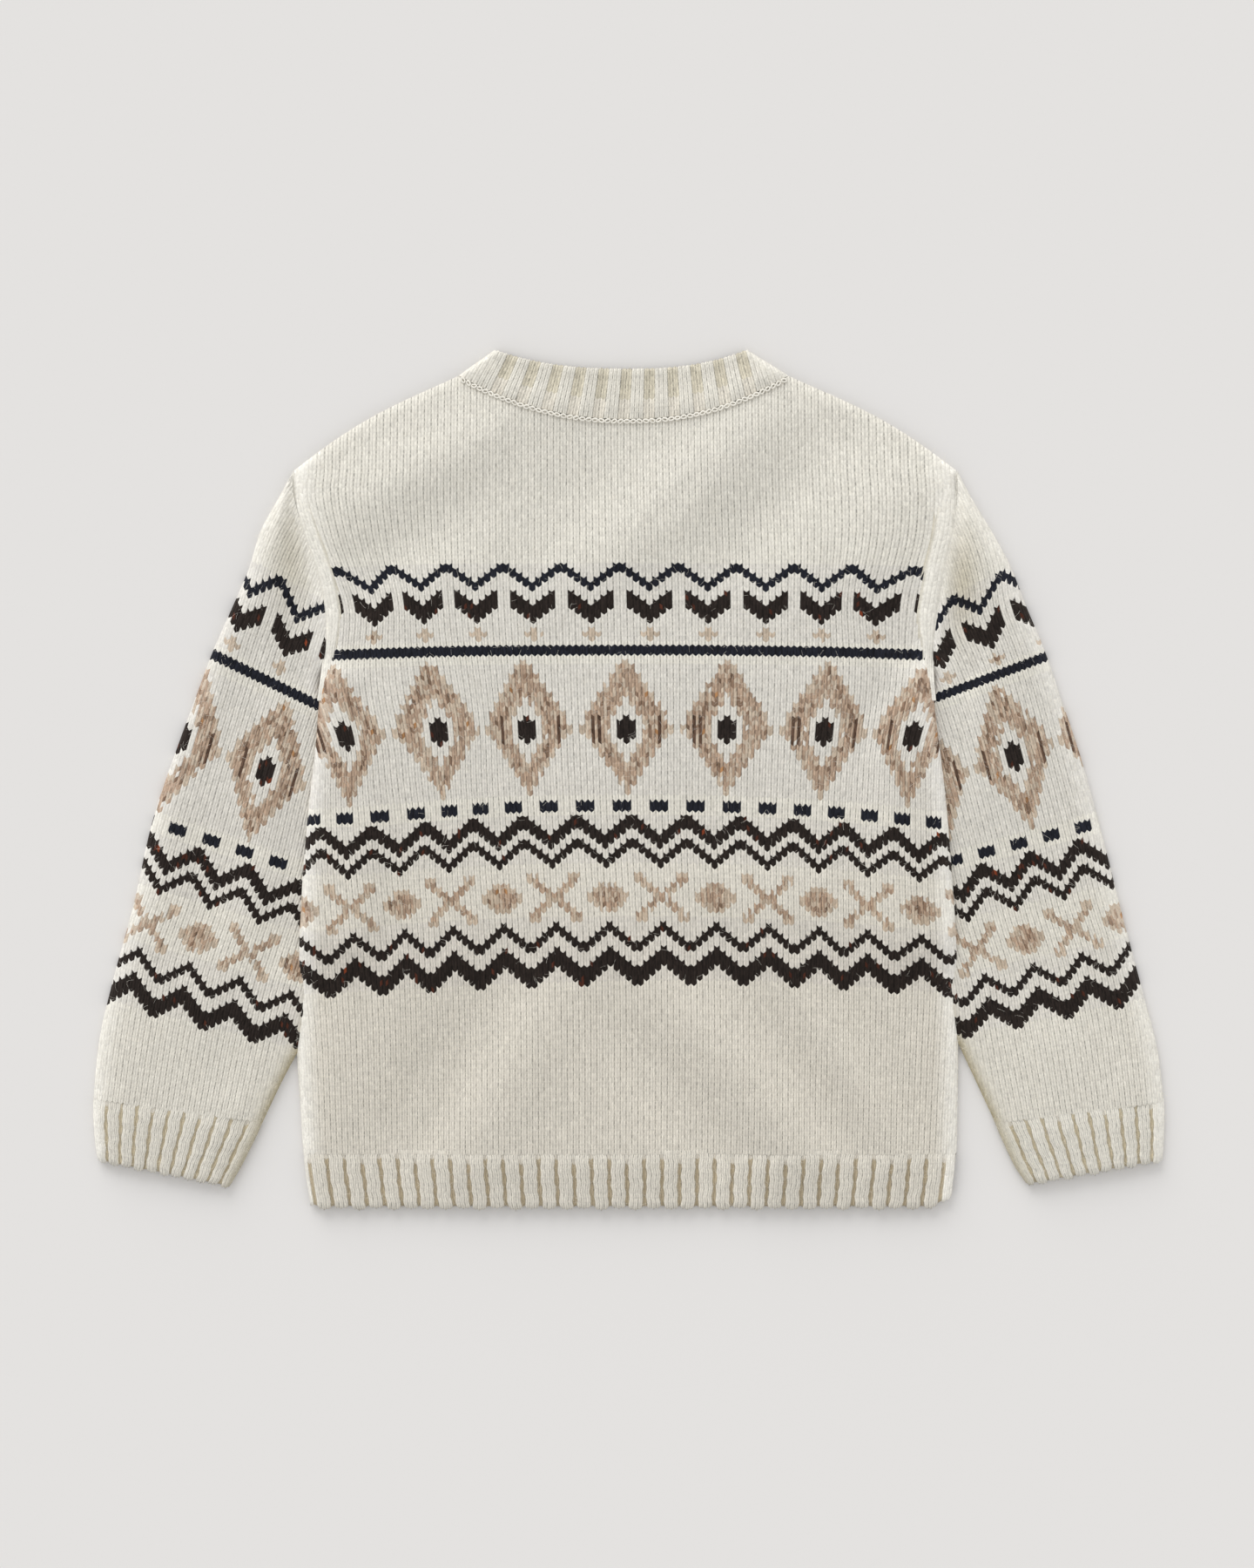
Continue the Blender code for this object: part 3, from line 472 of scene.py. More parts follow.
# The sleeves' inner edges, tucked under the body below the armhole:  height, left, right
TUCKED_EDGES = np.array([
    (66, -171.5, 170.9), (61, -172.9, 171.2), (52, -173.8, 171.2), (45, -172.4, 168),
    (36.5, -168.2, 163), (27, -164.5, 161.1), (11, -160.9, 158.6), (-11.5, -158.6, 157),
    (-58, -161.2, 159.6), (-105, -170.4, 168.6), (-148, -183.7, 185.1), (-170.5, -195.3, 195.5),
    (-193, -206, 206)])


def lift(x, y):
    """How high the sleeves under it raise the body: full over them, then down a soft ramp."""
    raised = np.zeros(np.broadcast(x, y).shape)
    begins, ends = ease((70 - y) / 18), ease((y + 118) / 30)
    for column, side in ((1, -1), (2, 1)):
        edge = through(BODY_EDGES, column, y)
        covered = np.clip(side * (edge - through(TUCKED_EDGES, column, y)), 0, None)
        past = (side * (edge - x) - covered - 8) / 24
        raised = np.maximum(raised, (2 * WALL + 2 * SEAM) * begins * ends * (1 - ease(past)))
    return raised


def rim_distance(x, y):
    """Distance to the nearest folded edge: a side or a shoulder."""
    left, right = sides(y)
    neck = np.where(x < 0, NECK_LEFT - x, x - NECK_RIGHT)
    shoulder = np.where(neck > -30, (shoulder_line(x) - y) * 0.87 + np.clip(-neck, 0, None), 99)
    return np.clip(np.minimum(np.minimum(x - left, right - x), shoulder), 0, None)


def back_air(x, y):
    """Room between the back and the front, with the creases."""
    rim = rim_distance(x, y)
    roll = 1.3 * (1 - np.exp(-rim / 5)) + 3 * ease(rim / 50)
    return np.clip(roll + creased(x, y, BODY_CREASES) * ease(rim / 22), 0, 9)


def back_height(x, y, *_):
    at_armhole = ease((y - UNDERARM_Y + 8) / 16)
    low = (MEET - WALL - SEAM) * (1 - at_armhole) + 0.6 * at_armhole
    return lift(x, y) + WALL + SEAM + back_air(x, y) + quarter(rim_distance(x, y), low, WALL, TOP_FOLD)


def patterned(piece, seed):
    def yarn(n, k, half):
        """With the dark strand that shows through in thin broken lines beside each diamond's dot."""
        away = (n - MIDDLES[piece][DIAMONDS] + 8) % 16 - 8
        beside = pick(2 * away + half - 0.5, (-10.6, -10.4), (-8.6, -8.4), (10.4, 10.6))
        floats = beside & (np.abs(k - DIAMOND_ROW) < 3.4) & (
            np.random.default_rng(seed).random(beside.shape) < 0.62)
        return np.where(floats, SHADE, flecked(stranded(n, k, piece) + 0 * half, seed))
    return yarn


def at_foot(low):
    """Raised stitches, but flat at the foot of the piece, where the rib takes over."""
    return lambda u, v: RELIEF * ease((v - low) / 2)


knit_wool = wool("lambswool stocking stitch", gap=0.46, fuzz=0.5)
back = knit("back_knit", body_place, back_height, BODY_SIDES, BODY_WALES, BODY_COURSES,
            patterned("body", 3), knit_wool, top=over_top(BACK_DROP), relief=at_foot(0), toothed=True,
            low_shade=0.85)
stand_in(back, "back_panel")

# ---- Front panel ----
# The same knit face down on the table, with the lower front neckline. Its bands run on round the
# sides from the back's. It rises over the sleeves where they are tucked under the body.


def front_height(x, y, *_):
    return lift(x, y) + WALL - quarter(rim_distance(x, y), WALL - MEET, WALL, UNDER_FOLD)


front = knit("front_knit", body_place, front_height, BODY_SIDES, BODY_WALES, BODY_COURSES,
             patterned("body", 4), knit_wool, top=over_top(FRONT_DROP), parts=2, relief=0, down=True)
stand_in(front, "front_panel")

# ---- Sleeves ----
# Two knitted tubes pressed flat, sewn into the armholes and tucked a little under the body. They
# carry the same bands, whose courses turn from the armhole's slope towards the cuff's.

# Outer folded edge:  height, x
OUTER_LEFT = np.array([
    (173.5, -188.35), (158.5, -196.5), (141.5, -206), (118.5, -213.5), (95, -223.5), (72.5, -233.5),
    (48, -242.8), (22.5, -252.2), (-21.5, -267.2), (-72, -278.8), (-116, -290.8), (-146, -297.6),
    (-180, -301)])
OUTER_RIGHT = np.array([
    (173.5, 184.35), (158.5, 192.3), (140.5, 203.2), (120, 214.3), (98, 223), (70, 234.6), (45.5, 243),
    (19, 252), (-31, 266), (-80, 278.4), (-122, 289.6), (-152, 297.2), (-182, 301)])
# How the courses lie:  course, where wale 0 crosses it (x, y), its slope in degrees, width of a wale
SLEEVE_COURSES = {
    "left": np.array([
        (160, -130, 195.5, 31, 3.4), (124, -181.9, 105.4, 29, 3.35), (118, -187.3, 87.1, 28.3, 3.3),
        (111, -193.6, 68.5, 26.6, 3.38), (105, -198.9, 52.5, 25.8, 3.3), (88, -212.9, 7.4, 21.5, 3.2),
        (72, -225.2, -38.2, 18, 3.3), (59, -236.2, -73.7, 16.4, 3.24), (48, -246, -103.1, 15.7, 3.28),
        (35, -253.1, -137.4, 14.4, 3.2), (16, -261, -185.7, 7.8, 3.05)]),
    "right": np.array([
        (160, 157, 203, 28, 3.4), (124, 198, 110.4, 26.5, 3.32), (118, 200.3, 93.1, 25, 3.32),
        (111, 207.5, 74, 22, 3.25), (105, 212.5, 60.1, 20.5, 3.2), (88, 225.1, 15.3, 18.7, 3.12),
        (72, 237.2, -32.1, 14.5, 3.11), (59, 245, -68.4, 12.8, 3.07), (48, 253.8, -97.8, 12.4, 3.08),
        (35, 261.2, -132.1, 10.9, 3.2), (16, 268.5, -186, 7, 3.05)])}
SLEEVE_WALES, SLEEVE_ROWS, SLEEVE_WALE = (-34, 34), (16, 160), 3.2  # wales, courses, width of a wale
SLEEVE_CROWN, EDGE_ROUND = 2.8, 7.5  # how far a sleeve bulges, and how round it folds
# Creases of a sleeve: course, share of its width from the outer edge, spreads of both, height
SLEEVE_CREASES = {
    "left": [(128, 0.66, 14, 0.13, -4.6), (132, 0.26, 13, 0.1, 1.4), (102, 0.46, 9, 0.2, -2.2),
             (92, 0.26, 14, 0.13, -2.8), (90, 0.66, 14, 0.14, 1.8), (62, 0.36, 13, 0.13, -3),
             (60, 0.7, 12, 0.14, 1.4), (40, 0.4, 10, 0.16, 1.4), (29, 0.74, 7, 0.14, -1.6)],
    "right": [(114, 0.8, 15, 0.1, -4.8), (130, 0.36, 13, 0.14, 1.8), (98, 0.46, 15, 0.16, 1.8),
              (84, 0.22, 14, 0.12, -1.8), (68, 0.66, 12, 0.14, -2.6), (56, 0.34, 12, 0.14, -1.8),
              (44, 0.6, 10, 0.14, -1.4), (30, 0.5, 7, 0.14, 1.3), (29, 0.18, 6, 0.1, -0.9)]}

# Painted shade, tan and dim, in the trough beside the armhole:  x, y, spread in x and in y, depth
TROUGH_SHADES = {"left": (-190, 122, 6.5, 20, 0.34), "right": (187.5, 110, 6, 20, 0.56)}


def inner_fold_shade(from_inner):
    """How much painted shade, tan and dim, an inner edge gets, so far from the fold that is turned to the
    body.
    """
    return np.exp(-((from_inner / 5.2) ** 1.4))


def sleeve(which, side, outer, tucked_column):
    turn = SLEEVE_COURSES[which]
    armhole = np.array([173.5, 164, 152, 140, 126, 112, 98, 82])
    # below the shoulder's tip the sleeve goes on a little under the armhole edge
    under = np.interp(armhole, [150, 173.5], [0.9, -0.35])
    inner = np.concatenate([
        np.stack([armhole, through(BODY_EDGES, tucked_column, armhole) - side * under], axis=1),
        TUCKED_EDGES[:, [0, tucked_column]]])

    def place(u, v):
        x, y, slope, wale = (through(turn, column, v) for column in (1, 2, 3, 4))
        slope = np.radians(slope)
        return x + u * wale * np.cos(slope), y + side * u * wale * np.sin(slope)

    def past_outer(x, y):
        return side * x > side * through(outer, 1, y)

    def past_inner(x, y):
        return side * x < side * through(inner, 1, y)

    def tops(x, y, u, v, left, right):
        away_left, away_right = (u - left) * SLEEVE_WALE, (right - u) * SLEEVE_WALE
        from_outer, from_inner = (away_left, away_right) if side < 0 else (away_right, away_left)
        across = from_outer / np.maximum(away_left + away_right, 1)
        sewn = ease((y - UNDERARM_Y + 6) / 12)  # no fold where it is sewn into the armhole
        near, folded = np.minimum(from_outer, from_inner), np.minimum(from_outer, from_inner + 30 * sewn)
        tucked = ease((y + 150) / 60) * (1 - ease((0.76 - across) / 0.24)) * (1 - sewn)
        free = ease((near + 8 * sewn) / 21) * (1 - tucked)
        rise = SLEEVE_CROWN * free
        for course, share, long, wide, high in SLEEVE_CREASES[which]:
            fold = bell((v - course) / long, (across - share) / wide)
            rise = rise + high * free * fold * ease((v - SLEEVE_ROWS[0]) / 9)
        return quarter(folded, MEET, UPPER, EDGE_ROUND) + np.clip(rise, -1, 5.4)

    def bottoms(x, y, u, v, left, right):
        return quarter(np.minimum(u - left, right - u) * SLEEVE_WALE, MEET, 0, 3)

    def in_shade(x, y, u, left, right):
        """Painted shade, tan and dim: on the fold turned towards the body, and in the trough beside the
        armhole.
        """
        from_inner = (right - u if side < 0 else u - left) * SLEEVE_WALE
        fold = inner_fold_shade(from_inner) * ease((-50 - y) / 60)
        trough_x, trough_y, wide, high, deep = TROUGH_SHADES[which]
        return np.maximum(fold, deep * bell((x - trough_x) / wide, (y - trough_y) / high))

    edges = (past_outer, past_inner) if side < 0 else (past_inner, past_outer)
    shared = dict(wales=SLEEVE_WALES, courses=SLEEVE_ROWS, material=knit_wool)
    upper = knit(f"sleeve_{which}_upper", place, tops, edges, yarn_of=patterned(which, 11),
                 relief=at_foot(SLEEVE_ROWS[0]), toothed=True, low_shade=0.3, fold_highlight=0.7, shaded=in_shade,
                 **shared)
    lower = knit(f"sleeve_{which}_lower", place, bottoms, edges, yarn_of=patterned(which, 12),
                 relief=0, parts=2, down=True, **shared)
    for layer, under in ((upper, lower), (lower, "floor")):
        stand_in(layer, f"sleeve_{which}")


sleeve("left", -1, OUTER_LEFT, 1)
sleeve("right", 1, OUTER_RIGHT, 2)

# ---- Armhole edges ----
# The back's edge rolls over the sleeve seam as a smooth cream bead, three wales wide, from the
# shoulder to the underarm, where it sinks into the knit.
EDGE_BOTTOM, EDGE_COURSE = 44, 2.55
EDGE_OUTSIDE = 1  # how far the bead hangs over the seam
EDGE_SLIM = 7.6  # width of the bead at the underarm, from where it widens upwards


def armhole_edge(which, side, column, widest):
    def width(y):
        return EDGE_SLIM + (widest - EDGE_SLIM) * ease((y - UNDERARM_Y) / 30)

    def across(u):
        return (u + 0.5) / 3 if side < 0 else (2.5 - u) / 3

    def place(u, v):
        y = EDGE_BOTTOM + v * EDGE_COURSE
        return through(BODY_EDGES, column, y) - side * (width(y) * across(u) - EDGE_OUTSIDE), y

    def height(x, y, *_):
        inside = side * (through(BODY_EDGES, column, y) - x) + EDGE_OUTSIDE
        shown = ease((y - EDGE_BOTTOM - 4) / 34) * (1 - ease((y - 142) / 26))
        bead = 1.8 * np.sin(math.pi * np.clip(inside / width(y), 0, 1)) ** 0.9 - 0.12
        panel = lift(x, y) + UPPER + back_air(x, y)
        return panel + bead * shown - 0.9 * (1 - shown) + quarter(inside, -0.5, 0, 1.6) * shown

    # painted shade: a fine tan line along the bead's inner side, where it meets the panel at the seam
    edge = knit(f"armhole_edge_{which}", place, height, None, (0, 2), (0, 50),
                lambda n, k, half: CREAM + 0 * n * k * half, edge_wool, relief=0.06, fold_highlight=0.5,
                shaded=lambda x, y, u, *_: 0.5 * ease((across(u) - 0.76) / 0.16))
    stand_in(edge, "back_panel")


edge_wool = wool("lambswool rolled edge", gap=0.9, fuzz=0.5)
armhole_edge("left", -1, 1, 11.5)
armhole_edge("right", 1, 2, 15)

# ---- Hem rib ----
# Back and front of the hem: raised ribs three wales wide between single purl wales, whose shadow
# looks tan. The ribs grow out of the stocking stitch and end in a scalloped cast-off edge.
HEM_RIBS, HEM_COURSES, HEM_HIGH = 37, 12, 30
HEM_START = 0.6  # how much of the first rib is folded round to the front
RIB_SHARE = 0.8  # of a rib and its groove
TUCK = 2.8  # how far a rib reaches up under the stocking stitch, where its first course is hidden


def rib_step(u):
    """Across a strip in ribs: three raised wales, then the narrow purl wale of the groove."""
    rib, part = np.divmod(u + 0.5, 4)
    return rib + np.interp(part, [0, 3, 4], [0, RIB_SHARE, 1])


def from_groove(u):
    """Wales from the middle of the nearest groove."""
    return np.abs((u + 0.5 - 3.5 + 2) % 4 - 2)


def rib_rise(u):
    """How far a wale stands up: 1 on the ribs, 0 in the grooves."""
    return 1 - np.exp(-((from_groove(u) / 0.7) ** 2))


def rib_yarn(last_groove, tan):
    """Painted shade, tan, in the grooves, which begin with a lighter painted shade and not all at the same
    course.
    """
    def yarn(n, k, half):
        begin = last_groove - (n // 4 * 5 % 3 == 0)
        groove = np.where(k < begin, tan, PURL_SHADE)
        return np.where((n % 4 == 3) & (k < begin + 1), groove, CREAM) + 0 * half
    return yarn


def round_foot(u):
    """The scallop of the cast-off edge: 1 at the middle of a rib, 0 in a groove."""
    return (1 - (1 - from_groove(u) / 2) ** 2) * (1 + 0.25 * np.sin(2.7 * np.floor((u + 0.5) / 4)))


def wavy(u, y):
    """How a rib wanders sideways along its length."""
    rib = np.floor((u + 0.5) / 4)
    return 0.32 * np.sin(0.75 * y + 2.1 * rib) + 0.22 * np.sin(0.33 * y + 4.7 * rib)


def rolled(v):
    """How much of a rib's height is left at its foot, which rolls under."""
    return np.interp(v, [-1, 0, 1], [0, 0.72, 1])


rib_wool = wool("lambswool rib", gap=0.52, fuzz=0.45)
band_wool = wool("lambswool neck rib", gap=0.4, fuzz=0.5)


def hem_place(u, v):
    down = 1 - np.clip(v, 0, HEM_COURSES) / HEM_COURSES
    share = np.clip(rib_step(u) - HEM_START, 0, HEM_RIBS) / HEM_RIBS
    corner = 2 * np.clip(1 - share / 0.014, 0, 1) ** 2 + 7 * np.clip((share - 0.957) / 0.043, 0, 1) ** 2
    y = HEM_TOP + TUCK - (HEM_HIGH - 0.15 + TUCK - corner) * down
    left, right = sides(y)
    x = left + (right - left) * share + wavy(u, y) * ease((0.5 - np.abs(share - 0.5)) * 20)
    return x, y - (2.2 * round_foot(u) - 1.2) * ease((down - 0.86) / 0.14) + 0.5 * (v < -0.5)


def hem_height(facing):
    def height(x, y, u, v, *_):
        left, right = sides(np.minimum(y, HEM_TOP))
        side = np.clip(np.minimum(x - left, right - x), 0, None)
        below = np.clip(HEM_TOP - y, 0, None)
        ribbed = ease((below + 1) / 8)
        ribs = rib_rise(u) * ribbed
        if facing < 0:
            under = quarter(side, 0, 1, UNDER_FOLD)
            return WALL - (WALL - 0.7 + 0.7 * ribs - 0.7 * (1 - ribbed)) * rolled(v) * under + (
                MEET - WALL) * quarter(side, 1, 0, UNDER_FOLD)
        open_air = back_air(x, np.full_like(y, HEM_TOP)) * (1 - 0.85 * ease(below / HEM_HIGH))
        thick = quarter(side, MEET - WALL - SEAM, WALL, TOP_FOLD) - 0.9 * ribbed + 1.5 * ribs
        return WALL + SEAM + open_air + thick * rolled(v) - 0.15 * ease((y - HEM_TOP + 0.6) / 0.6)
    return height


for name, node, facing, parts in (("hem_back", "hem_rib_back", 1, 4),
                                  ("hem_front", "hem_rib_front", -1, 2)):
    hem = knit(name, hem_place, hem_height(facing), None, (1, 4 * HEM_RIBS + 1), (-1, HEM_COURSES),
               rib_yarn(HEM_COURSES - 2, GROOVE_SHADE), rib_wool, parts=parts, down=facing < 0,
               relief=lambda u, v: 0.45 * rib_rise(u) * ease((HEM_COURSES - v) / 2), low_shade=0.62)
    stand_in(hem, node)

# ---- Cuffs ----
# Ribbed tubes that go on from the sleeves with slightly narrower ribs, pressed flat, and open at
# the wrist.
CUFF_RIBS, CUFF_COURSES = 11, 14
# Ends of a cuff's lines from wrist to sleeve:  course, left x, y, right x, y
CUFF_LINES = {
    "left": np.array([
        (14, -300.8, -177.4, -204.9, -190.4), (13, -301, -180.2, -206.05, -193.2),
        (6.5, -300.6, -198, -214.5, -211), (0, -298.8, -214.6, -224, -229.5)]),
    "right": np.array([
        (14, 204.9, -190.8, 300.8, -179.3), (13, 206.05, -193.6, 301, -182.1),
        (6.5, 214, -211.5, 301, -199), (0, 222.5, -228.5, 300.2, -214.6)])}
CUFF_CORNERS = {"left": (1.2, 1.4), "right": (2.6, 1.2)}  # how far its two lower corners are rounded up
CUFF_WIDE = 88  # at its middle, from fold to fold


def cuff_share(u):
    """Share of a cuff's width from its left fold."""
    return rib_step(u) / (CUFF_RIBS - 1 + RIB_SHARE)


def cuff(which, low_shade):
    lines = CUFF_LINES[which]

    def place(u, v):
        left_x, left_y, right_x, right_y = (through(lines, column, v) for column in (1, 2, 3, 4))
        share = cuff_share(u)
        corner = np.where(share < 0.5, *CUFF_CORNERS[which]) * (1 - np.clip(v, 0, 4) / 4)
        corner = corner * np.clip((np.abs(share - 0.5) - 0.44) / 0.06, 0, 1) ** 2
        y = left_y + (right_y - left_y) * share + corner
        sway = wavy(u, y) * ease((0.5 - np.abs(share - 0.5)) * 12)
        foot = (1.8 * round_foot(u) - 1) * ease((1.8 - v) / 1.8)
        return left_x + (right_x - left_x) * share + sway, y - foot + 0.5 * (v < -0.5)

    def height(facing):
        def at(x, y, u, v, *_):
            near = np.minimum(cuff_share(u), 1 - cuff_share(u)) * CUFF_WIDE
            ribbed = ease((CUFF_COURSES - 0.6 - v) / 3)
            ribs = rib_rise(u) * ribbed
            if facing < 0:
                depth = (MEET - 0.15 - 0.5 * (1 - ribs)) * rolled(v)
                return MEET - 0.15 - depth * quarter(near, 0, 1, UNDER_FOLD)
            hidden = 0.06 * ease((v - CUFF_COURSES + 1.2) / 0.4)
            thick = quarter(near, 0, MEET, EDGE_ROUND) - (0.8 * ribbed - 1.4 * ribs) * ease(near / 3)
            crown = SLEEVE_CROWN * ease(near / 22) * (1 - 0.6 * ease((CUFF_COURSES - v) / CUFF_COURSES))
            return MEET + (crown + thick) * rolled(v) - hidden
        return at

    def cuff_fold_shade(x, y, u, *_):
        # painted shade, tan and dim, on the fold turned towards the body
        return 0.85 * inner_fold_shade(CUFF_WIDE * (1 - cuff_share(u) if which == "left" else cuff_share(u)))

    for layer, facing, parts in (("upper", 1, 4), ("lower", -1, 2)):
        piece = knit(f"cuff_{which}_{layer}", place, height(facing), None, (0, 4 * CUFF_RIBS - 2),
                     (-1, CUFF_COURSES), rib_yarn(CUFF_COURSES - 1, CUFF_GROOVE_SHADE), rib_wool, parts=parts,
                     down=facing < 0, low_shade=low_shade, shaded=cuff_fold_shade,
                     relief=lambda u, v: 0.4 * rib_rise(u) * ease((CUFF_COURSES - v) / 2))
        stand_in(piece, f"cuff_{which}")


cuff("left", 0.3)
cuff("right", 0.1)

# ---- Neckband ----
# A ribbed ring of deep ribs, three wales each, with wide fuzzy purl troughs between. Its back half
# stands over the front half, and both fold into each other beside the neck.
BAND_Y, BAND_LEFT, BAND_RIGHT = 241.5, -75, 66
BAND_COURSES, BAND_RIB = 11, 1.35  # its length in courses, and how far a rib stands up
BAND_FIRST, BAND_LAST = 5, 60  # the wales in the middle of its first and last shown rib
SEAM_RIB, FREE_RIB, FREE_START = 14.31, 12.74, -83.8  # from rib to rib at its two edges, and x of the first


def band_rib(u):
    """Across the band in ribs: three raised wales about each whole number, two purl wales between."""
    part = (u + 2.5) % 5 - 2.5
    return (u - part) / 5 + np.interp(part, [-2.5, -1.5, 1.5, 2.5], [-0.5, -0.27, 0.27, 0.5])


def in_trough(u):
    return (u > BAND_FIRST) & (u < BAND_LAST)


def band_rise(u):
    part = np.abs((u + 2.5) % 5 - 2.5)
    return np.where(in_trough(u), ease((2.1 - part) / 1.1), 1)


def band_place(seam_drop, free_drop):
    def place(u, v):
        rib, up = band_rib(u), np.clip(v, 0, BAND_COURSES) / BAND_COURSES
        seam_x, free_x = NECK_LEFT + SEAM_RIB * rib, FREE_START + FREE_RIB * rib
        t = np.clip(np.where(free_x < 0, free_x / BAND_LEFT, free_x / BAND_RIGHT), 0, 1)
        seam_y, free_y = neckline(seam_x, seam_drop) + 0.3, BAND_Y - free_drop * (1 - t ** 2.5)
        return seam_x + (free_x - seam_x) * up, seam_y + (free_y - seam_y) * up - 0.6 * (v > BAND_COURSES)
    return place


def band_fold(x, y):
    """Distance inside the folds at the two ends of the band."""
    rise = np.clip((y - NECK_Y) / (BAND_Y - NECK_Y), 0, 1)
    return np.minimum(x - NECK_LEFT - (BAND_LEFT - NECK_LEFT) * rise,
                      NECK_RIGHT + (BAND_RIGHT - NECK_RIGHT) * rise - x)


def band_roll(v):
    """How much of the band's height is left at its free edge, which rolls under."""
    return np.interp(v, [BAND_COURSES - 1, BAND_COURSES, BAND_COURSES + 1], [1, 0.7, 0])


def band_top(x, y, u, v, *_):
    fold = np.clip(band_fold(x, y), 0, None)
    up = np.clip(v, 0, BAND_COURSES) / BAND_COURSES
    ribs = BAND_RIB * band_rise(u) * ease(fold / 5 + 0.2) * (0.35 + 0.65 * ease(v / 2.5))
    room = back_air(x, neckline(x, BACK_DROP)) * (1 - ease(up * 1.2))
    return MEET + 0.1 + (quarter(fold, 0, WALL + 0.1, 4.5) + ribs) * band_roll(v) + room


def band_bottom(x, y, u, v, *_):
    fold = np.clip(band_fold(x, y), 0, None)
    return MEET - 0.2 - (MEET - 0.2) * band_roll(v) * quarter(fold, 0, 1, 4)


BAND_ENDS = (lambda x, y: (band_fold(x, y) < 0) & (x < 0), lambda x, y: (band_fold(x, y) < 0) & (x > 0))
for name, drops, height, parts, down in (("neckband_back", (BACK_DROP, 10.5), band_top, 4, False),
                                         ("neckband_front", (FRONT_DROP, 53), band_bottom, 2, True)):
    # painted shade in the troughs: their purl wales are painted a little darker, and darker still as ladder
    # in the upper courses
    band = knit(name, band_place(*drops), height, BAND_ENDS, (-2, 67), (0, BAND_COURSES + 1),
                lambda n, k, half: np.where(
                    pick(n % 5, (2, 3)) & in_trough(n), np.where(k > 3, LADDER_SHADE, PURL_SHADE), CREAM) + 0 * half,
                band_wool, parts=parts, down=down, relief=lambda u, v: 0.3 + 0.45 * band_rise(u),
                fold_highlight=0.3)
    stand_in(band, "neckband")

# ---- Linked neck seam ----
# The band is joined to the back by a row of small chain stitches, one to a wale, that follows the
# neckline.
LINKS, LINK_LONG, LINK_WIDE, LINK_YARN = 54, 3, 1.8, 0.5


def node_group(name, inputs):
    """A new Geometry Nodes group with a geometry in and out; inputs are its own named numbers."""
    tree = bpy.data.node_groups.new(name, "GeometryNodeTree")
    keys = {}
    for label, kind in {"Geometry": "Geometry", **inputs}.items():
        given = tree.interface.new_socket(label, in_out="INPUT", socket_type="NodeSocket" + kind)
        keys[label] = given.identifier
    tree.interface.new_socket("Geometry", in_out="OUTPUT", socket_type="NodeSocketGeometry")
    return tree, keys, add(tree, "NodeGroupInput")


def close(tree, instances, material):
    """The instances made real and given their material, as what the group gives out."""
    whole = add(tree, "GeometryNodeRealizeInstances", {"Geometry": instances})
    finished = add(tree, "GeometryNodeSetMaterial", {"Geometry": whole[0], "Material": material})
    add(tree, "NodeGroupOutput", {0: finished[0]})


def realized(name, data, tree, keys, values):
    """An object with the mesh that the group makes of the given curve or mesh."""
    carrier = put(name, data)
    nodes = carrier.modifiers.new(name, "NODES")
    nodes.node_group = tree
    for label, value in values.items():
        nodes[keys[label]] = value
    carrier.update_tag()
    mesh = bpy.data.meshes.new_from_object(
        carrier.evaluated_get(bpy.context.evaluated_depsgraph_get()))
    mesh.name = name
    bpy.data.objects.remove(carrier)
    return put(name, mesh)


def plain(name, colour, roughness=0.95, sheen=0.1):
    """A matt material of one colour: yarn or fibre with no stitches of its own, or paper."""
    material = bpy.data.materials.new(name)
    material.use_nodes = True
    shader = material.node_tree.nodes["Principled BSDF"]
    for key, value in (("Base Color", linear(colour)), ("Roughness", roughness), ("Sheen Weight", sheen),
                       ("Specular IOR Level", 0.1), ("Sheen Roughness", 0.6 if sheen else 0.5)):
        shader.inputs[key].default_value = value
    return material


seam_x = np.linspace(NECK_LEFT + 3, NECK_RIGHT - 3, 60)
seam_y = neckline(seam_x, BACK_DROP) - 1.1
seam_z = UPPER + back_air(seam_x, seam_y) + 1.25
seam_line = bpy.data.curves.new("neck seam", "CURVE")
seam_line.dimensions = "3D"
run = seam_line.splines.new("POLY")
run.points.add(len(seam_x) - 1)
run.points.foreach_set("co", np.stack([seam_x, seam_y, seam_z, seam_x * 0 + 1000], axis=1).ravel() * MM)

tree, keys, given = node_group("chain of links", {
    "Links": "Int", "Link long": "Float", "Link wide": "Float", "Yarn": "Float"})
node = partial(add, tree)
spots = node("GeometryNodeResampleCurve", {"Curve": given["Geometry"], "Count": given["Links"]})
along = node("FunctionNodeAlignRotationToVector", {"Vector": node("GeometryNodeInputTangent")[0]}, axis="X")
loop = node("GeometryNodeCurvePrimitiveCircle", {"Resolution": 10, "Radius": 0.5})
shape = node("ShaderNodeCombineXYZ", {"X": given["Link long"], "Y": given["Link wide"], "Z": 1})
oval = node("GeometryNodeTransform", {"Geometry": loop["Curve"], "Scale": shape[0]})
strand = node("GeometryNodeCurvePrimitiveCircle", {"Resolution": 5, "Radius": given["Yarn"]})
link = node("GeometryNodeCurveToMesh", {"Curve": oval[0], "Profile Curve": strand["Curve"]})
smooth = node("GeometryNodeSetShadeSmooth", {"Geometry": link[0]})
sway = node("FunctionNodeRandomValue", {0: (-0.3, -0.2, -0.5), 1: (0.3, 0.2, 0.5), "Seed": 5},
            data_type="FLOAT_VECTOR")
turned = node("FunctionNodeRotateRotation", {0: along[0], 1: sway[0]}, rotation_space="LOCAL")
links = node("GeometryNodeInstanceOnPoints", {
    "Points": spots[0], "Instance": smooth[0], "Rotation": turned[0]})
close(tree, links[0], plain("linking yarn", "#EEEAE0"))
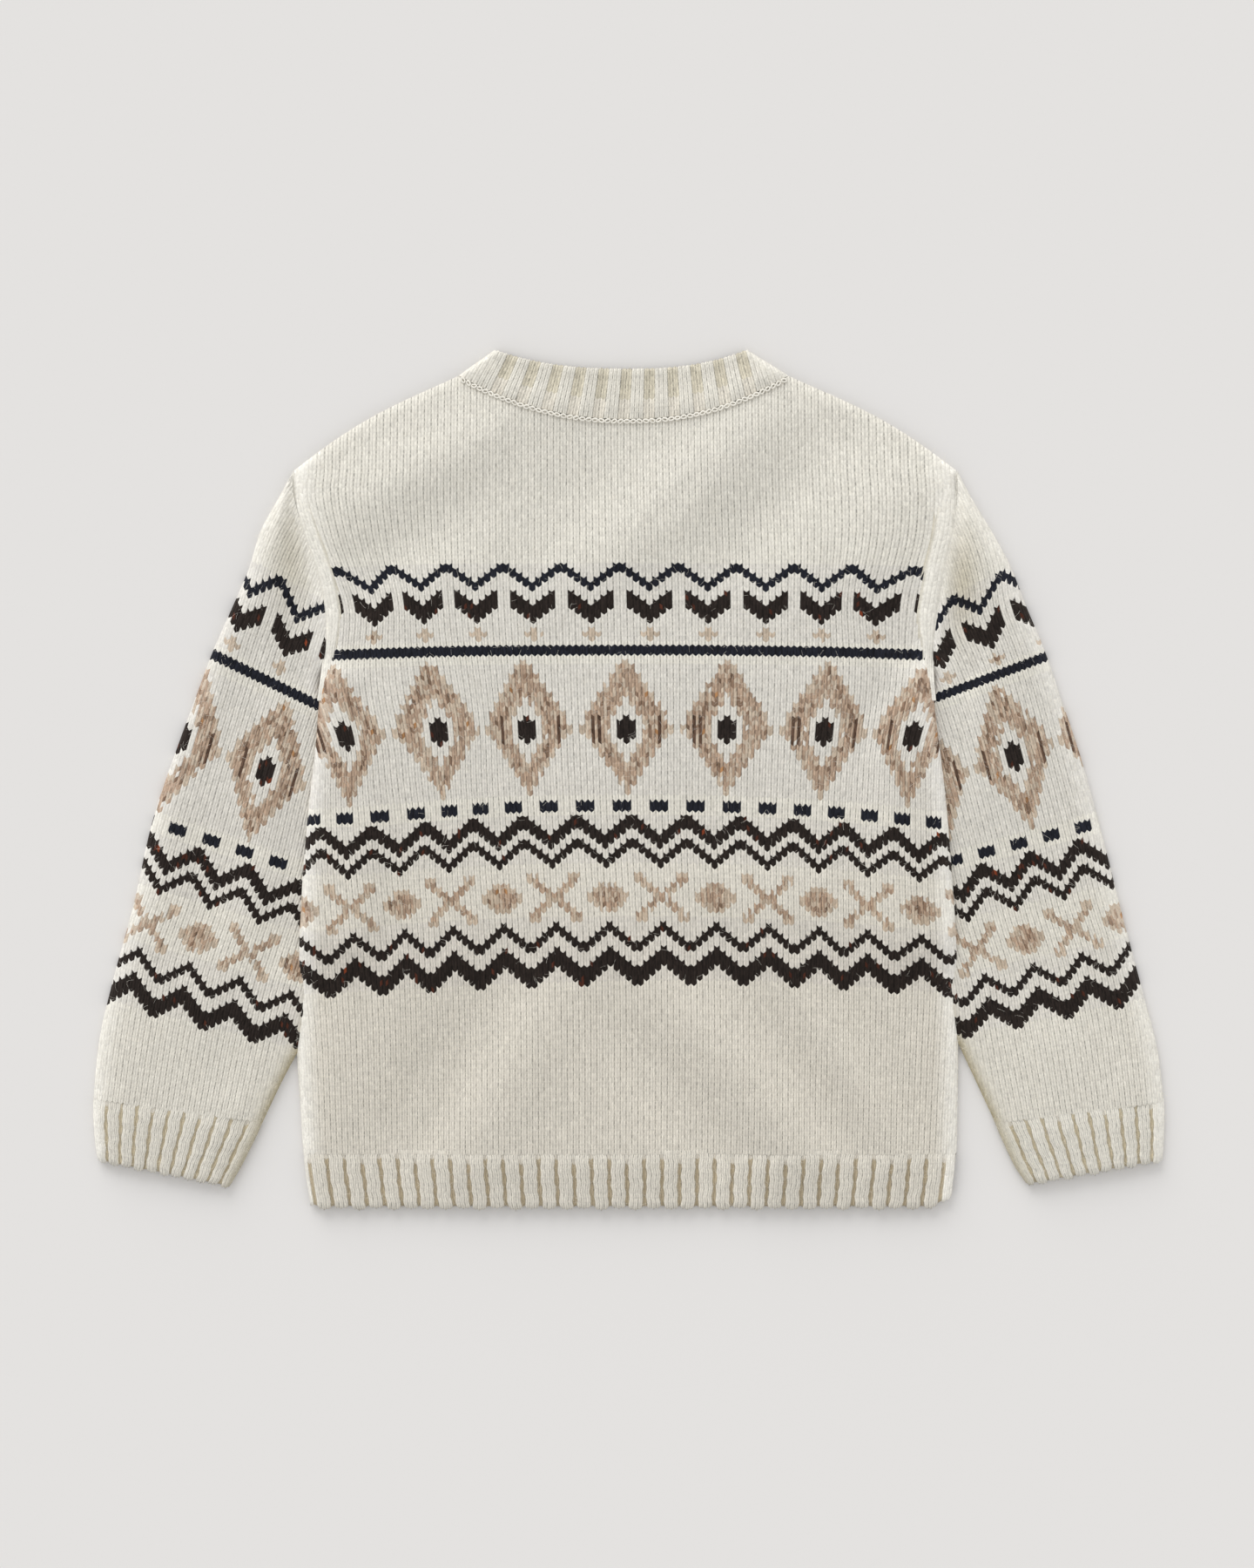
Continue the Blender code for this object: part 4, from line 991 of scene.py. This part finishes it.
seam = realized("neck_seam_links", seam_line, tree, keys, {
    "Links": LINKS, "Link long": LINK_LONG * MM, "Link wide": LINK_WIDE * MM, "Yarn": LINK_YARN * MM})
stand_in(seam, "neckband")

# ---- Loose fibres ----
# The brushed wool's halo: short curved hairs that stand off every upper surface, and thicker at the
# folded edges.
HAIR_LONG, HAIR_WIDE = 3.4, 0.05
HAIRS_BACK, HAIRS = 110000.0, 120000.0  # to a square metre of the back, and of the other pieces

tree, keys, given = node_group("loose fibres", {
    "Hairs per square metre": "Float", "Long": "Float", "Wide": "Float", "Seed": "Int"})
node = partial(add, tree)
tints = node("GeometryNodeInputNamedAttribute", {"Name": "yarn"}, data_type="FLOAT_COLOR")
yarn = node("FunctionNodeSeparateColor", {0: tints[0]})
upwards = node("ShaderNodeSeparateXYZ", {0: node("GeometryNodeInputNormal")[0]})
at_fold = node("ShaderNodeMapRange", {"Value": yarn["Alpha"], "To Min": 3})
on_pale = node("ShaderNodeMapRange", {"Value": yarn["Red"], "From Max": 0.6})
off_table = node("ShaderNodeMapRange", {"Value": upwards["Z"], "From Min": 0.5, "From Max": 0.8})
density = at_fold[0]
for factor in (on_pale[0], off_table[0], given["Hairs per square metre"]):
    density = node("ShaderNodeMath", {0: density, 1: factor}, operation="MULTIPLY")[0]
roots = node("GeometryNodeDistributePointsOnFaces", {
    "Mesh": given["Geometry"], "Density": density, "Seed": given["Seed"]})
hair = node("GeometryNodeCurveQuadraticBezier", {
    "Resolution": 3, "Start": (0, 0, -0.03), "Middle": (0.1, 0.35, 0.45), "End": (0.35, 0.95, 0.25)})
slim = node("ShaderNodeMath", {0: given["Wide"], 1: given["Long"]}, operation="DIVIDE")
flat_strand = node("GeometryNodeCurvePrimitiveLine", {
    "Start": (0, 0, 0), "End": node("ShaderNodeCombineXYZ", {"X": slim[0]})[0]})
ribbon = node("GeometryNodeCurveToMesh", {"Curve": hair[0], "Profile Curve": flat_strand[0]})
spin = node("FunctionNodeRandomValue", {0: (-0.5, -0.5, 0), 1: (0.5, 0.5, 6.2832), "Seed": 8},
            data_type="FLOAT_VECTOR")
leaning = node("FunctionNodeRotateRotation", {0: roots["Rotation"], 1: spin[0]}, rotation_space="LOCAL")
some = node("FunctionNodeRandomValue", {2: 0.5, 3: 1.5, "Seed": 9}, data_type="FLOAT")
length = node("ShaderNodeMath", {0: some[1], 1: given["Long"]}, operation="MULTIPLY")
hairs = node("GeometryNodeInstanceOnPoints", {
    "Points": roots["Points"], "Instance": ribbon[0], "Rotation": leaning[0], "Scale": length[0]})
close(tree, hairs[0], plain("loose lambswool fibres", "#ECE7DC"))
for piece, solid in (("back_knit", "back_panel"), ("sleeve_left_upper", "sleeve_left"),
                     ("sleeve_right_upper", "sleeve_right"), ("hem_back", "hem_rib_back"),
                     ("cuff_left_upper", "cuff_left"), ("cuff_right_upper", "cuff_right"),
                     ("neckband_back", "neckband")):
    fibres = realized(f"fibres_{piece}", bpy.data.objects[piece].data.copy(), tree, keys, {
        "Hairs per square metre": HAIRS_BACK if solid == "back_panel" else HAIRS, "Seed": 3,
        "Long": HAIR_LONG * MM, "Wide": HAIR_WIDE * MM})
    stand_in(fibres, solid)

# ---- Table, light and camera ----
# A plain pale surface under soft daylight from beyond the neck, seen from straight above.
TABLE_HALF, TABLE_Z = 3, -0.0002  # metres
ROOM_LIGHT, WINDOW_LIGHT = 0.777, 1.93  # strengths of the light from all round and from the window
WINDOW_WIDTH, WINDOW_HIGH, WINDOW_FROM = 52, 21, 201  # degrees: how wide it is, how high, on which side
CAMERA_AT = (-0.001, -0.0027, 2.0835)  # metres

floor_mesh = bpy.data.meshes.new("floor")
floor_mesh.from_pydata([(TABLE_HALF * x, TABLE_HALF * y, TABLE_Z)
                        for x, y in ((-1, -1), (1, -1), (1, 1), (-1, 1))], [], [(0, 1, 2, 3)])
floor_mesh.materials.append(plain("matt pale paper", "#E4E2E0", 0.9, 0))
put("floor", floor_mesh)

scene = bpy.context.scene
scene.view_settings.view_transform = "Standard"
world = bpy.data.worlds.new("soft room")
scene.world = world
world.use_nodes = True
background = world.node_tree.nodes["Background"].inputs
background["Color"].default_value = (1, 1, 1, 1)
background["Strength"].default_value = ROOM_LIGHT
daylight = bpy.data.lights.new("window light", "SUN")
daylight.energy, daylight.angle = WINDOW_LIGHT, math.radians(WINDOW_WIDTH)
put("window light", daylight).rotation_euler = (
    math.radians(90 - WINDOW_HIGH), 0, math.radians(WINDOW_FROM))

camera = bpy.data.cameras.new("overhead")
camera.sensor_width = 36.0
camera.lens = 85.0
scene.camera = put("overhead", camera)
scene.camera.location = CAMERA_AT
